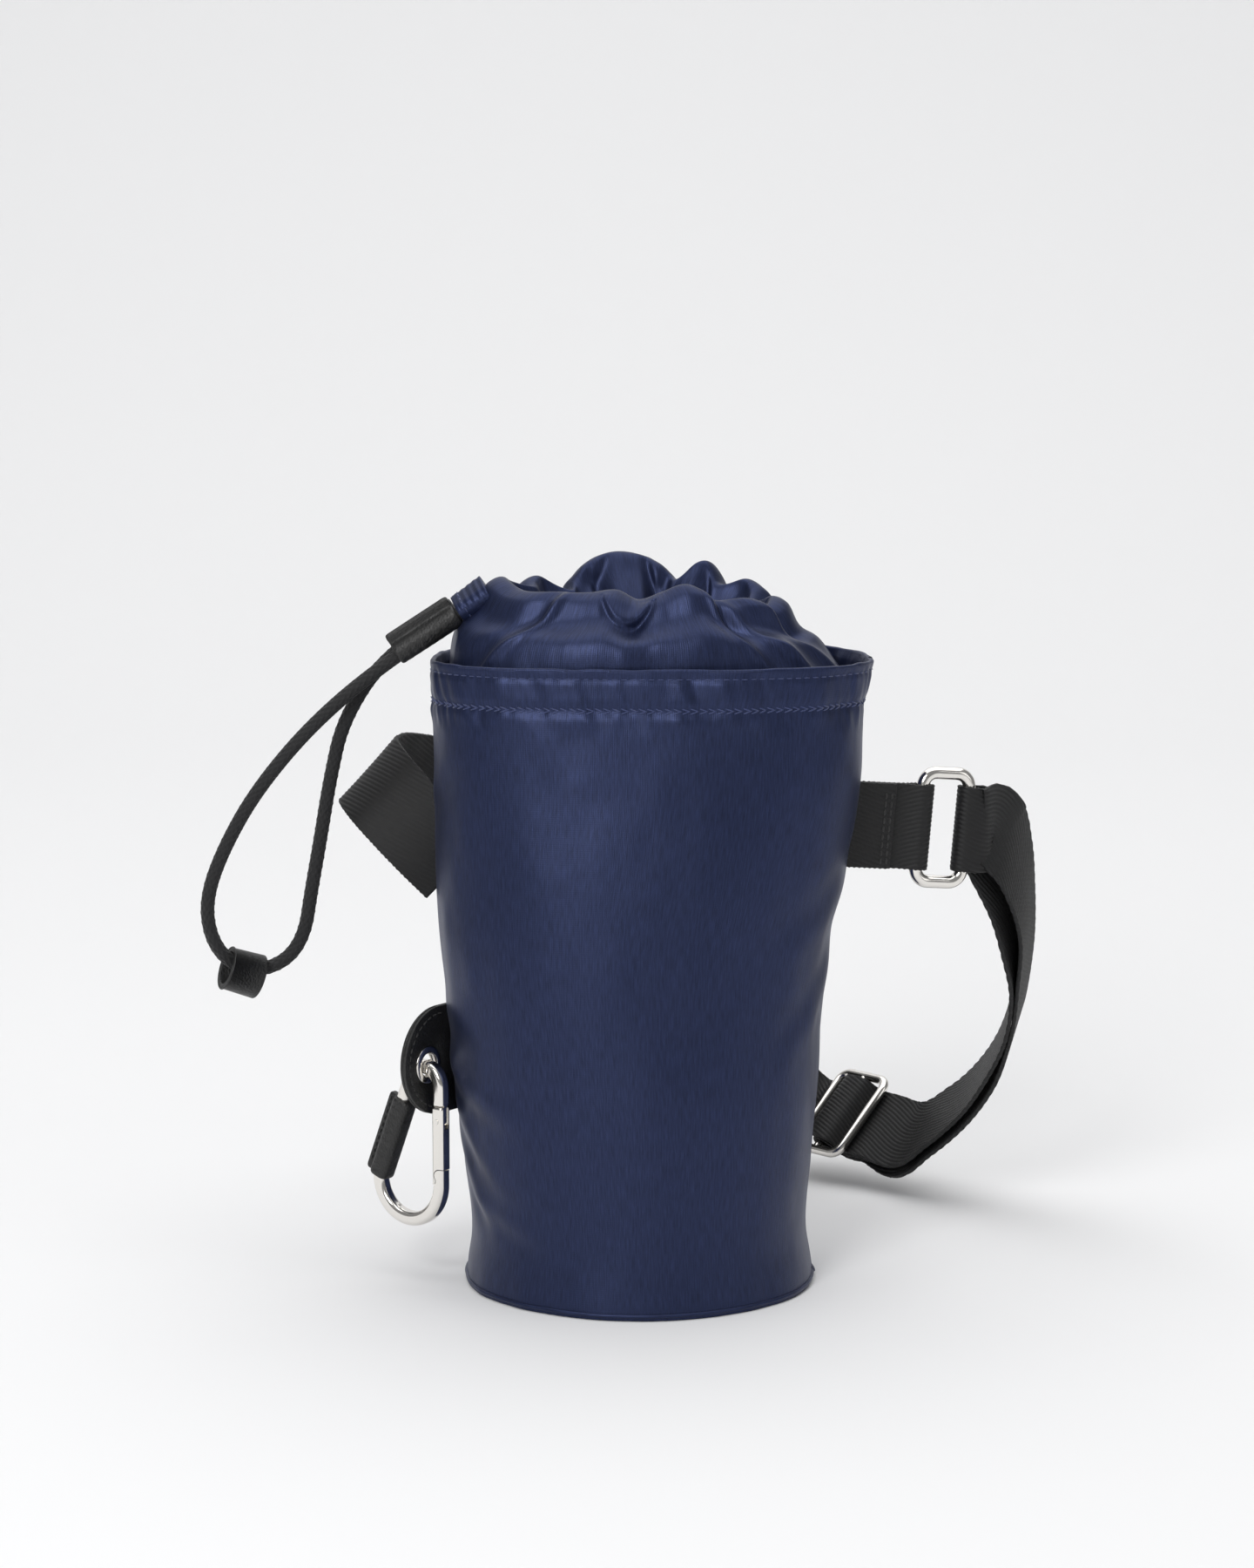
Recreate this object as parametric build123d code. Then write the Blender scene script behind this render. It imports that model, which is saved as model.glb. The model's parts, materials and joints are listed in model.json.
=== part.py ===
from build123d import *
import os
from math import cos, sin, tan, pi, radians, sqrt, acos, degrees

os.makedirs("parts", exist_ok=True)

# ---------------------------------------------------------------- driving dimensions (mm)
# Frame: origin at the middle of the base where it meets the floor, +Z up, +Y to the back,
# +X to the wearer's strap ring. The side seams lie in the plane Y = 0.
BAG_HEIGHT = 230.0
PANEL = 1.2  # padded nylon panel
LINING = 0.5
FACING = 1.0  # turned hem inside the rim
HEM_FOOT = 214.0  # where the hem ends and the collar is sewn in
BASE_R = 65.0
BOARD = 2.0

WEB_W, WEB_T = 32.0, 1.5  # webbing
CORD_D = 5.0  # elastic drawcord
LEATHER = 1.25

RING_R = 2.4  # stock radius of the strap ring
SLIDER_R = 1.9
HOOK_STOCK = 5.2
PIN_R = 0.9
FIT = 0.05  # radial clearance of a running fit

# Outline of the bag at each height: z, left, right, front and back reach, squareness
BODY = [
    (0, -BASE_R, BASE_R, BASE_R, BASE_R, 2.0),
    (18, -62.4, 62.6, 62.0, 62.5, 2.0),
    (75, -68.6, 65.6, 59.0, 62.0, 2.05),
    (130, -73.4, 69.4, 54.0, 60.5, 2.15),
    (188, -74.6, 80.5, 46.5, 58.5, 2.4),
    (BAG_HEIGHT, -76.2, 84.6, 42.0, 58.0, 2.6),
]
COLLAR = [
    (208, -71.0, 79.0, 38.0, 53.0, 2.5),
    (226, -61.8, 66.5, 34.0, 47.0, 2.4),
    (243, -60.6, 63.5, 31.0, 42.0, 2.3),
    (255, -58.0, 48.0, 26.0, 35.0, 2.3),
    (264, -42.0, 30.0, 15.0, 22.0, 2.2),
]
COLLAR_WALL = 3.0
CASING_FOOT = 241.0  # above this the collar is gathered solid round the cord
MOUTH = (22.0, 9.0)  # half axes of the gathered mouth

CARABINER_TAB_Z = 82.8
TAB_R, TAB_REACH, EYELET_REACH = 20.0, 28.0, 15.0
TAB_ROOT = Vector(-69.2, 0, CARABINER_TAB_Z)
TAB_OUT = Vector(-0.6, -0.8, 0)  # the tab points out and forward from the left seam
TAB_FACE = Vector(0.8, -0.6, 0)  # normal of its right face
EYELET_HOLE_R, EYELET_FLANGE_R, EYELET_Z = 4.2, 7.0, 82.0

HOOK_TOP_R, HOOK_FOOT_R = 7.0, 14.3  # centre-line radii of the two bends
HOOK_TOP = (0.0, 74.3)  # bend centres in the hook's own plane: across, up
GATE_U = HOOK_TOP_R  # the gate side stands upright under the end of the top bend
HOOK_FOOT = (GATE_U - HOOK_FOOT_R, 37.9)
SHOULDER_Z, GATE_TOP_Z, GATE_PIN_Z, NOSE_Z = 68.0, 67.5, 61.9, 43.9
GATE_W, GATE_GAP = 5.4, 0.35
TONGUE_W, TONGUE_T, BORE_R = 4.6, 1.8, 1.25
SLEEVE_LEN, SLEEVE_WALL, SLEEVE_DROP = 31.0, 1.3, 3.2

LOCK_CENTRE = Vector(-77.7, 0, 239.5)
LOCK_DIR = Vector(0.837, 0, 0.547)  # along the doubled cord, up to the bag
LOCK_LEN, LOCK_WALL = 26.4, 2.0
LOCK_FLANGE, LOCK_FLANGE_OUT = 4.0, 5.0  # the flat seam along the sleeve, and how far out it lies
STRAND = Vector(-0.656, 2.3, 1.004)  # from the lock's middle to the rear strand
CORD_GAP = STRAND.length
CASING_START, CASING_END = 14.5, 21.5  # stretch of the casing's end tube along LOCK_DIR

RING_D = Vector(0.955, 0.297, 0)  # across the ring, away from the bag
RING_BAR = Vector(102.6, 11.2, 166.2)  # centre of the bar that the tab holds
RING_ACROSS, RING_UP, RING_CORNER = 18.2, 40.4, 5.0

SLIDER_W = Vector(0.56, 0.47, 0.68).normalized()  # along the slider's bars
SLIDER_BAR = Vector(90.7, 146.0, 26.3)  # centre of the right bar
SLIDER_ACROSS, SLIDER_UP, SLIDER_CORNER = 26.0, 38.4, 4.5
SLIDER_BAR_R = 1.7

# Webbing: centre and the direction across it, from its lower to its upper selvedge
HIDDEN_PLY = [
    ((-56.0, 0.0, 141.5), (0.70, 0.04, 0.70)),
    ((-66.0, 0.0, 151.5), (0.70, 0.05, 0.70)),
    ((-76.0, 0.5, 161.5), (0.70, 0.06, 0.70)),
    ((-86.5, 3.5, 172.0), (0.69, 0.08, 0.72)),
    ((-95.5, 10.0, 181.0), (0.68, 0.10, 0.72)),
    ((-100.0, 20.5, 185.5), (0.67, 0.10, 0.73)),
    ((-98.0, 33.5, 184.5), (0.62, 0.08, 0.77)),
    ((-88.0, 50.0, 178.5), (0.50, 0.10, 0.86)),
    ((-67.0, 76.0, 166.0), (0.38, 0.14, 0.91)),
    ((-37.0, 105.0, 142.0), (0.42, 0.22, 0.88)),
    ((-5.0, 131.0, 112.0), (0.48, 0.32, 0.82)),
    ((24.0, 151.0, 79.0), (0.54, 0.40, 0.74)),
    ((46.0, 167.0, 49.5), (0.56, 0.46, 0.69)),
    ((61.0, 178.0, 31.5), (0.56, 0.47, 0.68)),
]
INNER_PLY = [
    ((108.0, 132.0, 22.0), (0.48, 0.48, 0.73)),
    ((121.0, 120.0, 31.5), (0.38, 0.68, 0.62)),
    ((132.0, 105.0, 45.5), (0.22, 0.90, 0.38)),
    ((139.5, 89.0, 62.5), (0.12, 0.99, 0.10)),
    ((144.0, 73.0, 82.5), (0.10, 0.99, 0.04)),
    ((144.6, 58.5, 103.0), (0.20, 0.96, 0.20)),
    ((141.8, 47.0, 123.0), (0.30, 0.82, 0.48)),
    ((138.5, 39.0, 139.0), (0.32, 0.66, 0.68)),
    ((133.5, 31.5, 152.5), (0.28, 0.42, 0.86)),
    ((128.5, 26.4, 161.5), (0.16, 0.18, 0.97)),
]
OUTER_PLY = [
    ((132.0, 19.6, 165.5), (0.14, 0.12, 0.98)),
    ((138.6, 24.6, 160.0), (0.26, 0.36, 0.90)),
    ((143.8, 33.0, 149.0), (0.28, 0.60, 0.75)),
    ((147.4, 44.6, 131.0), (0.26, 0.82, 0.50)),
    ((148.6, 59.0, 105.0), (0.18, 0.97, 0.16)),
    ((147.2, 74.8, 80.0), (0.10, 0.99, 0.02)),
    ((142.4, 91.0, 59.0), (0.12, 0.99, 0.10)),
    ((134.2, 106.5, 41.5), (0.22, 0.90, 0.38)),
    ((122.6, 121.0, 27.5), (0.38, 0.68, 0.62)),
    ((108.8, 133.6, 17.5), (0.48, 0.48, 0.73)),
]

# Elastic drawcord from the casing's end, down, through the bead and back: route corners
CORD_ROUTE = [
    (-64.9, -2.3, 246.4),
    (-89.8, -2.3, 230.1),
    (-117.3, -4.8, 207.8),
    (-139.0, -5.2, 182.5),
    (-151.8, -5.2, 160.0),
    (-158.2, -5.2, 142.0),
    (-156.8, -5.0, 127.8),
    (-150.3, -3.6, 118.2),
    (-139.5, 0.5, 114.2),
    (-129.0, 3.8, 118.2),
    (-123.0, 5.0, 127.8),
    (-120.8, 5.2, 142.0),
    (-117.0, 5.0, 162.5),
    (-113.4, 4.6, 184.0),
    (-108.0, 3.8, 207.5),
    (-91.1, 2.3, 232.2),
    (-66.2, 2.3, 248.4),
]
# The stretch of the same cord inside the casing, round the gathered top
CASING_ROUTE = [
    (-64.7, -2.3, 246.5),
    (-55.7, -2.3, 252.4),
    (-45.6, -7.7, 256.0),
    (-28.0, -17.0, 252.0),
    (-5.0, -21.0, 250.0),
    (15.0, -21.0, 249.0),
    (36.0, -18.5, 248.0),
    (48.0, -7.5, 246.5),
    (48.0, 8.5, 246.5),
    (36.0, 20.5, 248.0),
    (16.0, 27.0, 250.0),
    (-8.0, 27.0, 250.0),
    (-30.0, 19.5, 252.0),
    (-46.7, 8.1, 256.4),
    (-57.0, 2.3, 254.4),
    (-66.0, 2.3, 248.5),
]

BEAD_R, BEAD_BORE, BEAD_W = 8.2, 6.2, 13.0
STRAP_SEAM_X = -75.1  # where the strap's end meets the left seam


# ---------------------------------------------------------------- helpers
def outline(z, left, right, front, back, power, inset=0.0, count=28):
    """A closed face at height z: a squared oval with its own reach to each side."""
    middle, half = (left + right) / 2, (right - left) / 2 - inset
    points = []
    for i in range(count):
        a = 2 * pi * i / count
        c, s = cos(a), sin(a)
        r = (abs(c) ** power + abs(s) ** power) ** (-1 / power)
        depth = (back if s > 0 else front) - inset
        points.append(Vector(middle + half * r * c, depth * r * s, z))
    return Face(Wire([Edge.make_spline(points, periodic=True)]))


def hull(rows, inset=0.0):
    """The smooth solid through a list of outlines."""
    return Solid.make_loft([outline(*row, inset=inset).outer_wire() for row in rows])


def slab(low, high, y0=-200.0, y1=200.0):
    """A wide box between two heights, and between two depths."""
    box = Box(400, y1 - y0, high - low, align=(Align.CENTER, Align.MIN, Align.MIN))
    return Pos(0, y0, low) * box


def cord_path(route):
    """Straight runs joined by tangent arcs, each as large as its two runs allow."""
    points = [Vector(*p) for p in route]
    radii = []
    for a, b, c in zip(points, points[1:], points[2:]):
        turn = radians((b - a).get_angle(c - b))
        radii.append(0.45 * min((b - a).length, (c - b).length) / tan(turn / 2))
    return FilletPolyline(*points, radius=radii), radii


def cord_tube(route, diameter):
    path, radii = cord_path(route)
    start = Plane(path @ 0, z_dir=path % 0)
    tube = sweep(start * Circle(diameter / 2), path=path)
    return tube, path, radii


def unit(v):
    return Vector(*v).normalized()


def across(w, tangent):
    """w made square to the ribbon's run."""
    w = unit(w)
    return (w - tangent * w.dot(tangent)).normalized()


def ribbon(stations, width=WEB_W, thick=WEB_T):
    """Webbing through stations of (centre, direction across), as one flat closed strip."""
    centres = [Vector(*p) for p, _ in stations]
    wires = []
    for i, (c, (_, w)) in enumerate(zip(centres, stations)):
        before, after = centres[max(i - 1, 0)], centres[min(i + 1, len(centres) - 1)]
        run = (after - before).normalized()
        plane = Plane(c, x_dir=across(w, run), z_dir=run)
        wires.append((plane * Rectangle(width, thick)).face().outer_wire())
    return Solid.make_loft(wires, ruled=True)


def rounded_link(plane, across_, up, corner, stock_r):
    """A closed link of round stock on a rounded rectangle."""
    path = (plane * RectangleRounded(across_, up, corner)).face().outer_wire()
    start = Plane(path @ 0, z_dir=path % 0)
    return sweep(start * Circle(stock_r), path=path)


def write(name, shape):
    solids = shape.solids() if hasattr(shape, "solids") else [shape]
    out = solids[0] if len(solids) == 1 else Compound(children=list(solids))
    out.label = name
    export_step(out, f"parts/{name}.step")


# ---------------------------------------------------------------- bag
def bag_shell():
    outer, inner = hull(BODY), hull(BODY, PANEL)
    wall = outer - inner
    parts = {
        "front_panel": wall & slab(0, BAG_HEIGHT, y1=0),
        "back_panel": wall & slab(0, BAG_HEIGHT, y0=0),
    }
    parts["rim_facing"] = (inner - hull(BODY, PANEL + FACING)) & slab(HEM_FOOT, BAG_HEIGHT - 0.6)
    lined = PANEL + BOARD + 2 * LINING
    parts["lining_tube"] = (inner - hull(BODY, PANEL + LINING)) & slab(lined, HEM_FOOT)
    foot = BASE_R - PANEL - 0.6
    parts["base_panel"] = disc(0, PANEL, foot)
    parts["base_board"] = disc(PANEL, BOARD, foot - 0.7)
    parts["lining_base"] = disc(PANEL + BOARD, LINING, foot - 0.7)
    return parts


def disc(z, height, radius):
    return Pos(0, 0, z) * Cylinder(radius, height, align=(Align.CENTER, Align.CENTER, Align.MIN))


def lock_plane(s):
    """The plane square to the doubled cord at distance s from the lock's middle."""
    return Plane(LOCK_CENTRE + LOCK_DIR * s, x_dir=STRAND, z_dir=LOCK_DIR)


def twin_slot(s, length, grow):
    """A stadium round both strands of the cord, grown by a wall thickness."""
    sketch = SlotCenterToCenter(2 * CORD_GAP, CORD_D + 2 * grow)
    return extrude(lock_plane(s) * sketch, amount=length)


def collar_parts():
    """The sleeve of nylon above the rim, and the gathered casing that closes it."""
    casing_cord, _, radii = cord_tube(CASING_ROUTE, CORD_D)
    end_outer = twin_slot(CASING_START, CASING_END - CASING_START, 1.8)
    end_bore = twin_slot(CASING_START - 1, CASING_END - CASING_START + 4, 0.4)
    outer = hull(COLLAR)
    wall = outer - hull(COLLAR, COLLAR_WALL)
    mouth = Pos(-2, 3.5, CASING_FOOT - 5) * extrude(Ellipse(*MOUTH), amount=60)
    channel = cord_tube(CASING_ROUTE, CORD_D + 2 * FIT)[0]
    gathers = (outer & slab(CASING_FOOT, COLLAR[-1][0] + 5)) - mouth - end_outer - channel - end_bore
    parts = {
        "drawstring_collar": wall & slab(COLLAR[0][0], CASING_FOOT),
        "cord_casing": gathers,
        "casing_end": end_outer - end_bore,
        "drawcord_in_casing": casing_cord,
    }
    return parts, radii


# ---------------------------------------------------------------- drawcord, lock and bead
def drawcord_parts():
    loop, path, radii = cord_tube(CORD_ROUTE, CORD_D)
    sleeve = twin_slot(-LOCK_LEN / 2, LOCK_LEN, LOCK_WALL)
    up = Vector(0, 1, 0).cross(LOCK_DIR) * -1
    flange_plane = Plane(LOCK_CENTRE + up * LOCK_FLANGE_OUT, x_dir=up, z_dir=LOCK_DIR)
    flange = flange_plane * Box(LOCK_FLANGE, 2 * LEATHER, LOCK_LEN)
    lock = (sleeve + flange) - twin_slot(-LOCK_LEN, 2 * LOCK_LEN, 0.95)
    bead_plane = Plane(BEAD_CENTRE, z_dir=BEAD_AXIS)
    bead = bead_plane * (Cylinder(BEAD_R, BEAD_W) - Cylinder(BEAD_BORE, BEAD_W * 2))
    volume = pi * (CORD_D / 2) ** 2 * path.length
    print(f"drawcord loop: length {path.length:.1f}, volume ratio {loop.volume / volume:.4f}")
    return {"drawcord_loop": loop, "cord_lock_sleeve": lock, "pull_bead": bead}, radii


BEAD_AXIS = (Vector(*CORD_ROUTE[8]) - Vector(*CORD_ROUTE[7])).normalized()
BEAD_CENTRE = Vector(-145.4, -1.6, 114.4)


# ---------------------------------------------------------------- carabiner tab and carabiner
def hook_point(u, z):
    """A point of the hook's own plane, u across it and z up."""
    eye = TAB_ROOT + TAB_OUT * EYELET_REACH
    return Vector(eye.X + TAB_FACE.X * u, eye.Y + TAB_FACE.Y * u, z)


HOOK_PLANE = Plane(hook_point(0, 0), x_dir=TAB_FACE, z_dir=TAB_OUT)


def tab_parts():
    plane = Plane(TAB_ROOT, x_dir=TAB_OUT, z_dir=TAB_FACE)
    straight = TAB_REACH - TAB_R
    shape = Pos(-2, 0) * Rectangle(straight + 2, 2 * TAB_R, align=(Align.MIN, Align.CENTER))
    shape += Pos(straight, 0) * Circle(TAB_R)
    shape &= Pos(-2, 0) * Rectangle(80, 80, align=(Align.MIN, Align.CENTER))
    eye = Pos(EYELET_REACH, (EYELET_Z - CARABINER_TAB_Z) * (1 if plane.y_dir.Z > 0 else -1))
    shape -= eye * Circle(EYELET_HOLE_R + 0.6)
    clear = hull(BODY)
    front = extrude(plane * shape, amount=LEATHER) - clear
    back = extrude(plane * shape, amount=-LEATHER) - clear
    ring = Circle(EYELET_FLANGE_R) - Circle(EYELET_HOLE_R)
    barrel = Circle(EYELET_HOLE_R + 0.6) - Circle(EYELET_HOLE_R)
    eyelet = extrude(plane * eye * ring, amount=0.6)
    eyelet = eyelet.moved(Location(TAB_FACE * LEATHER))
    eyelet += extrude(plane * eye * barrel, amount=2 * LEATHER).moved(Location(TAB_FACE * -LEATHER))
    washer = extrude(plane * eye * ring, amount=-0.6).moved(Location(TAB_FACE * -LEATHER))
    return {"tab_front_leather": front, "tab_back_leather": back,
            "tab_eyelet": eyelet, "eyelet_washer": washer}


def spine_ends():
    """Where the hook's straight spine meets its two bends, opposite the upright gate side."""
    top, foot = Vector(*HOOK_TOP), Vector(*HOOK_FOOT)
    line = (foot - top).normalized()
    out = line * (2 * line.X) - Vector(1, 0)
    return top + out * HOOK_TOP_R, foot + out * HOOK_FOOT_R, out


def upright(section, low, high):
    """A section extruded up the gate side of the hook's plane."""
    return Pos(GATE_U, low, 0) * Rot(-90, 0, 0) * extrude(section, amount=high - low)


def nose_side():
    """The region of the hook's plane below the S-shaped joint of gate and nose."""
    bend = [(-3.6, -6.4), (-2.6, -6.1), (-1.2, -5.6), (-0.5, -3.9), (-1.3, -2.3),
            (-0.5, -0.5), (1.2, 0.1), (2.6, -0.1), (3.6, -0.5)]
    points = [(GATE_U + u, NOSE_Z + z) for u, z in bend]
    curve = Spline(*points)
    rest = Polyline(points[-1], (GATE_U + 3.6, 30), (GATE_U - 3.6, 30), points[0])
    return extrude(Face(Wire([curve, *rest.edges()])), amount=5, both=True)


def carabiner_parts():
    top, foot, out = spine_ends()
    shoulder = (GATE_U, SHOULDER_Z)
    crown = (HOOK_TOP[0], HOOK_TOP[1] + HOOK_TOP_R)
    toe = (HOOK_FOOT[0], HOOK_FOOT[1] - HOOK_FOOT_R)
    path = Wire([
        Line(shoulder, (GATE_U, HOOK_TOP[1])),
        ThreePointArc((GATE_U, HOOK_TOP[1]), crown, (top.X, top.Y)),
        Line((top.X, top.Y), (foot.X, foot.Y)),
        ThreePointArc((foot.X, foot.Y), toe, (GATE_U, HOOK_FOOT[1])),
    ])
    stock = RectangleRounded(HOOK_STOCK, HOOK_STOCK, 1.8)
    bar = sweep(Plane(path @ 0, x_dir=(0, 0, 1), z_dir=path % 0) * stock, path=path)
    region = nose_side()
    nose = upright(stock, HOOK_FOOT[1], NOSE_Z + 1) & region
    pin_axis = Pos(GATE_U, GATE_PIN_Z, 0)
    tongue = Pos(GATE_U, GATE_PIN_Z, 0) * Cylinder(TONGUE_W / 2, TONGUE_T)
    tongue += Pos(GATE_U, (GATE_PIN_Z + SHOULDER_Z) / 2, 0) * Box(TONGUE_W, SHOULDER_Z - GATE_PIN_Z, TONGUE_T)
    column = upright(Rectangle(8, 8), HOOK_FOOT[1] - 3, SHOULDER_Z) - region
    hook = (bar + nose - column) + tongue - pin_axis * Cylinder(PIN_R, 20)

    body = upright(RectangleRounded(GATE_W, GATE_W, 1.7), HOOK_FOOT[1] - 3, GATE_TOP_Z)
    body = fillet(body.edges().filter_by(Axis.Z).sort_by(Axis.Y)[-2:], 1.1)
    for du, dz in ((0, GATE_GAP), (-GATE_GAP / 2, GATE_GAP / 2), (-GATE_GAP / 2, 0), (0, 0)):
        body -= Pos(du, dz, 0) * region
    slot_foot = GATE_PIN_Z - TONGUE_W / 2 - 0.5
    body -= Pos(GATE_U, slot_foot, 0) * Box(9, 12, TONGUE_T + 0.3, align=(Align.CENTER, Align.MIN, Align.CENTER))
    body -= pin_axis * Cylinder(PIN_R + FIT, 20)
    bore_foot = slot_foot - 10.5
    body -= upright(Circle(BORE_R), bore_foot, slot_foot + 1)
    plunger = upright(Circle(BORE_R - 0.1), slot_foot - 3.0, slot_foot)
    coil = Helix(pitch=0.85, height=7.2, radius=BORE_R - 0.35)
    wire = sweep(Plane(coil @ 0, z_dir=coil % 0) * Circle(0.16), path=coil, is_frenet=True)
    spring = Pos(GATE_U, bore_foot + 0.17, 0) * Rot(-90, 0, 0) * wire
    pin = pin_axis * Cylinder(PIN_R, GATE_W + 0.3)

    run = (foot - top).normalized()
    middle = (top + foot) * 0.5 + run * SLEEVE_DROP
    around = Plane((middle.X, middle.Y, 0), x_dir=(0, 0, 1), z_dir=(run.X, run.Y, 0))
    grown = HOOK_STOCK + 0.1 + 2 * SLEEVE_WALL
    sleeve = extrude(around * RectangleRounded(grown, grown, 3.1), amount=SLEEVE_LEN / 2, both=True)
    lip = Pos(middle.X, middle.Y, 0) * Rot(0, 0, degrees(acos(out.X))) * Pos(grown / 2 + 0.8, 0, 0)
    sleeve += lip * Box(3.6, SLEEVE_LEN, 2 * SLEEVE_WALL)
    sleeve -= extrude(around * RectangleRounded(HOOK_STOCK + 0.1, HOOK_STOCK + 0.1, 1.85),
                      amount=SLEEVE_LEN, both=True)
    local = {"carabiner_hook": hook, "carabiner_gate": body, "gate_pin": pin,
             "gate_plunger": plunger, "gate_spring": spring, "carabiner_sleeve": sleeve}
    return {name: HOOK_PLANE * shape for name, shape in local.items()}


# ---------------------------------------------------------------- webbing strap, ring and slider
def ring_frame():
    """The ring's own plane: x across it, y up, z towards the front."""
    up = Vector(0.085, 0.02, 1).normalized()
    out = (RING_D - up * RING_D.dot(up)).normalized()
    return Plane(RING_BAR, x_dir=out, z_dir=out.cross(up))


def slider_frame():
    """The slider's own plane: x along the strap to its hidden side, z towards the front."""
    run = Vector(-0.63, 0.776, -0.01)
    run = (run - SLIDER_W * run.dot(SLIDER_W)).normalized()
    return Plane(SLIDER_BAR, x_dir=run, z_dir=SLIDER_W.cross(run))


def stations(plane, points, w):
    """Stations square to a plane, for the stretches where webbing goes round a bar."""
    return [(tuple(plane.from_local_coords((x, 0, z))), tuple(w)) for x, z in points]


def strap_parts():
    ring = ring_frame()
    slider = slider_frame()
    middle = SLIDER_ACROSS / 2
    link = rounded_link(ring * Pos(RING_ACROSS / 2, 0, 0), RING_ACROSS, RING_UP, RING_CORNER, RING_R)
    frame = rounded_link(slider * Pos(middle, 0, 0), SLIDER_ACROSS, SLIDER_UP, SLIDER_CORNER, SLIDER_R)
    frame += slider * Pos(middle, 0, 0) * Rot(90, 0, 0) * Cylinder(SLIDER_BAR_R, SLIDER_UP)

    # the short tab that holds the ring: out from the seam, round the bar and back
    lap = RING_R + 0.35 + WEB_T / 2
    side = WEB_T / 2 + 0.1
    tab_path = [(-34.0, side), (-7.0, side), *arc_points(0, 0, lap, 130, -130, 9),
                (-7.0, -side), (-19.0, -side)]
    tab = ribbon(stations(ring, tab_path, ring.y_dir)) - hull(BODY)

    # the long strap: left seam, behind the bag, through the slider, to the ring and back
    behind, above = -SLIDER_R - 0.35 - WEB_T / 2, SLIDER_BAR_R + 0.75 + 1.5 * WEB_T
    rise = [(8.2, above - 0.75), (10.5, above - 0.15), (middle, above)]
    half = [(-8.0, behind - 0.2), (-1.0, behind), (1.2, behind), *rise]
    through = [(SLIDER_ACROSS - x, z) for x, z in half] + half[-2::-1]
    round_ring = [(RING_ACROSS + 6, -lap - 0.2),
                  *[(RING_ACROSS + x, z) for x, z in arc_points(0, 0, lap, -90, -270, 9)],
                  (RING_ACROSS + 6, lap + 0.2)]
    turn = SLIDER_BAR_R + 0.3 + WEB_T / 2
    tail = behind - WEB_T - 0.4
    end = tail - WEB_T - 0.8
    end_wrap = [(-8.0, end - 0.1), (0.5, end),
                *[(middle + x, z) for x, z in arc_points(0, 0, turn, -110, 110, 9)],
                (1.5, tail), (-8.0, tail - 0.05), (-12.0, tail - 1.15)]
    strap = ribbon(HIDDEN_PLY + stations(slider, through, SLIDER_W) + INNER_PLY
                   + stations(ring, round_ring, ring.y_dir) + OUTER_PLY
                   + stations(slider, end_wrap, SLIDER_W))
    strap -= Pos(STRAP_SEAM_X + 30, 0, 150) * Box(60, 12, 80)
    print(f"strap volume {strap.volume:.0f}, length {strap.volume / (WEB_W * WEB_T):.0f}")
    return {"strap_ring": link, "strap_slider": frame, "ring_tab": tab, "strap_webbing": strap}


def arc_points(x, z, radius, start, end, count):
    """Points on an arc between two angles in degrees, measured from +x towards +z."""
    angles = [radians(start + (end - start) * i / (count - 1)) for i in range(count)]
    return [(x + radius * cos(a), z + radius * sin(a)) for a in angles]


def main():
    parts = bag_shell()
    collar, casing_radii = collar_parts()
    cords, loop_radii = drawcord_parts()
    for group in (collar, cords, tab_parts(), carabiner_parts(), strap_parts()):
        parts.update(group)
    print("casing arc radii", [round(r, 1) for r in casing_radii])
    print("loop arc radii", [round(r, 1) for r in loop_radii])
    for name, shape in parts.items():
        write(name, shape)


main()
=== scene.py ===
import json
from math import pi, radians

import bpy
import numpy as np
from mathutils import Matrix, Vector

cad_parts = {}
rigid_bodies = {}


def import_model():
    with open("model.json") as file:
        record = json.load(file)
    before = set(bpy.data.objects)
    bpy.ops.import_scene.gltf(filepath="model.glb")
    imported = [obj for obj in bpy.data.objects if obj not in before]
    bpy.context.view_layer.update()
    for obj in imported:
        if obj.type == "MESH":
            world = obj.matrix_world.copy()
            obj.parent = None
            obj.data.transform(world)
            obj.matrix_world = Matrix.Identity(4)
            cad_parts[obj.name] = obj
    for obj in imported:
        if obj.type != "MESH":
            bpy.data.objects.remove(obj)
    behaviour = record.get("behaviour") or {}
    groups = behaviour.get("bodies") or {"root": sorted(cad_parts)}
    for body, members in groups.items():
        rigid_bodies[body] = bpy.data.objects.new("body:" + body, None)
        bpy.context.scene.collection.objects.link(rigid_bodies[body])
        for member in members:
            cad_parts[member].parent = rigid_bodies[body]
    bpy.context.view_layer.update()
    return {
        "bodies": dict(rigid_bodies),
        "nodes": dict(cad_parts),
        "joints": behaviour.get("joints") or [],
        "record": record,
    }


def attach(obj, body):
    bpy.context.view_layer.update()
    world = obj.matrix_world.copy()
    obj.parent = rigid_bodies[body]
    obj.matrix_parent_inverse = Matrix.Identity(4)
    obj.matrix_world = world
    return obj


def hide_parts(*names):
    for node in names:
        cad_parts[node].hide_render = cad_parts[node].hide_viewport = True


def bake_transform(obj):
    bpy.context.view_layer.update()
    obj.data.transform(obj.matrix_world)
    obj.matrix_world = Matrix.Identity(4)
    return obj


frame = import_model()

MM = 0.001
TAU = 2 * pi


# ------------------------------------------------------------ small maths
def unit(v):
    v = np.asarray(v, float)
    return v / np.maximum(np.linalg.norm(v, axis=-1, keepdims=True), 1e-12)


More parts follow.
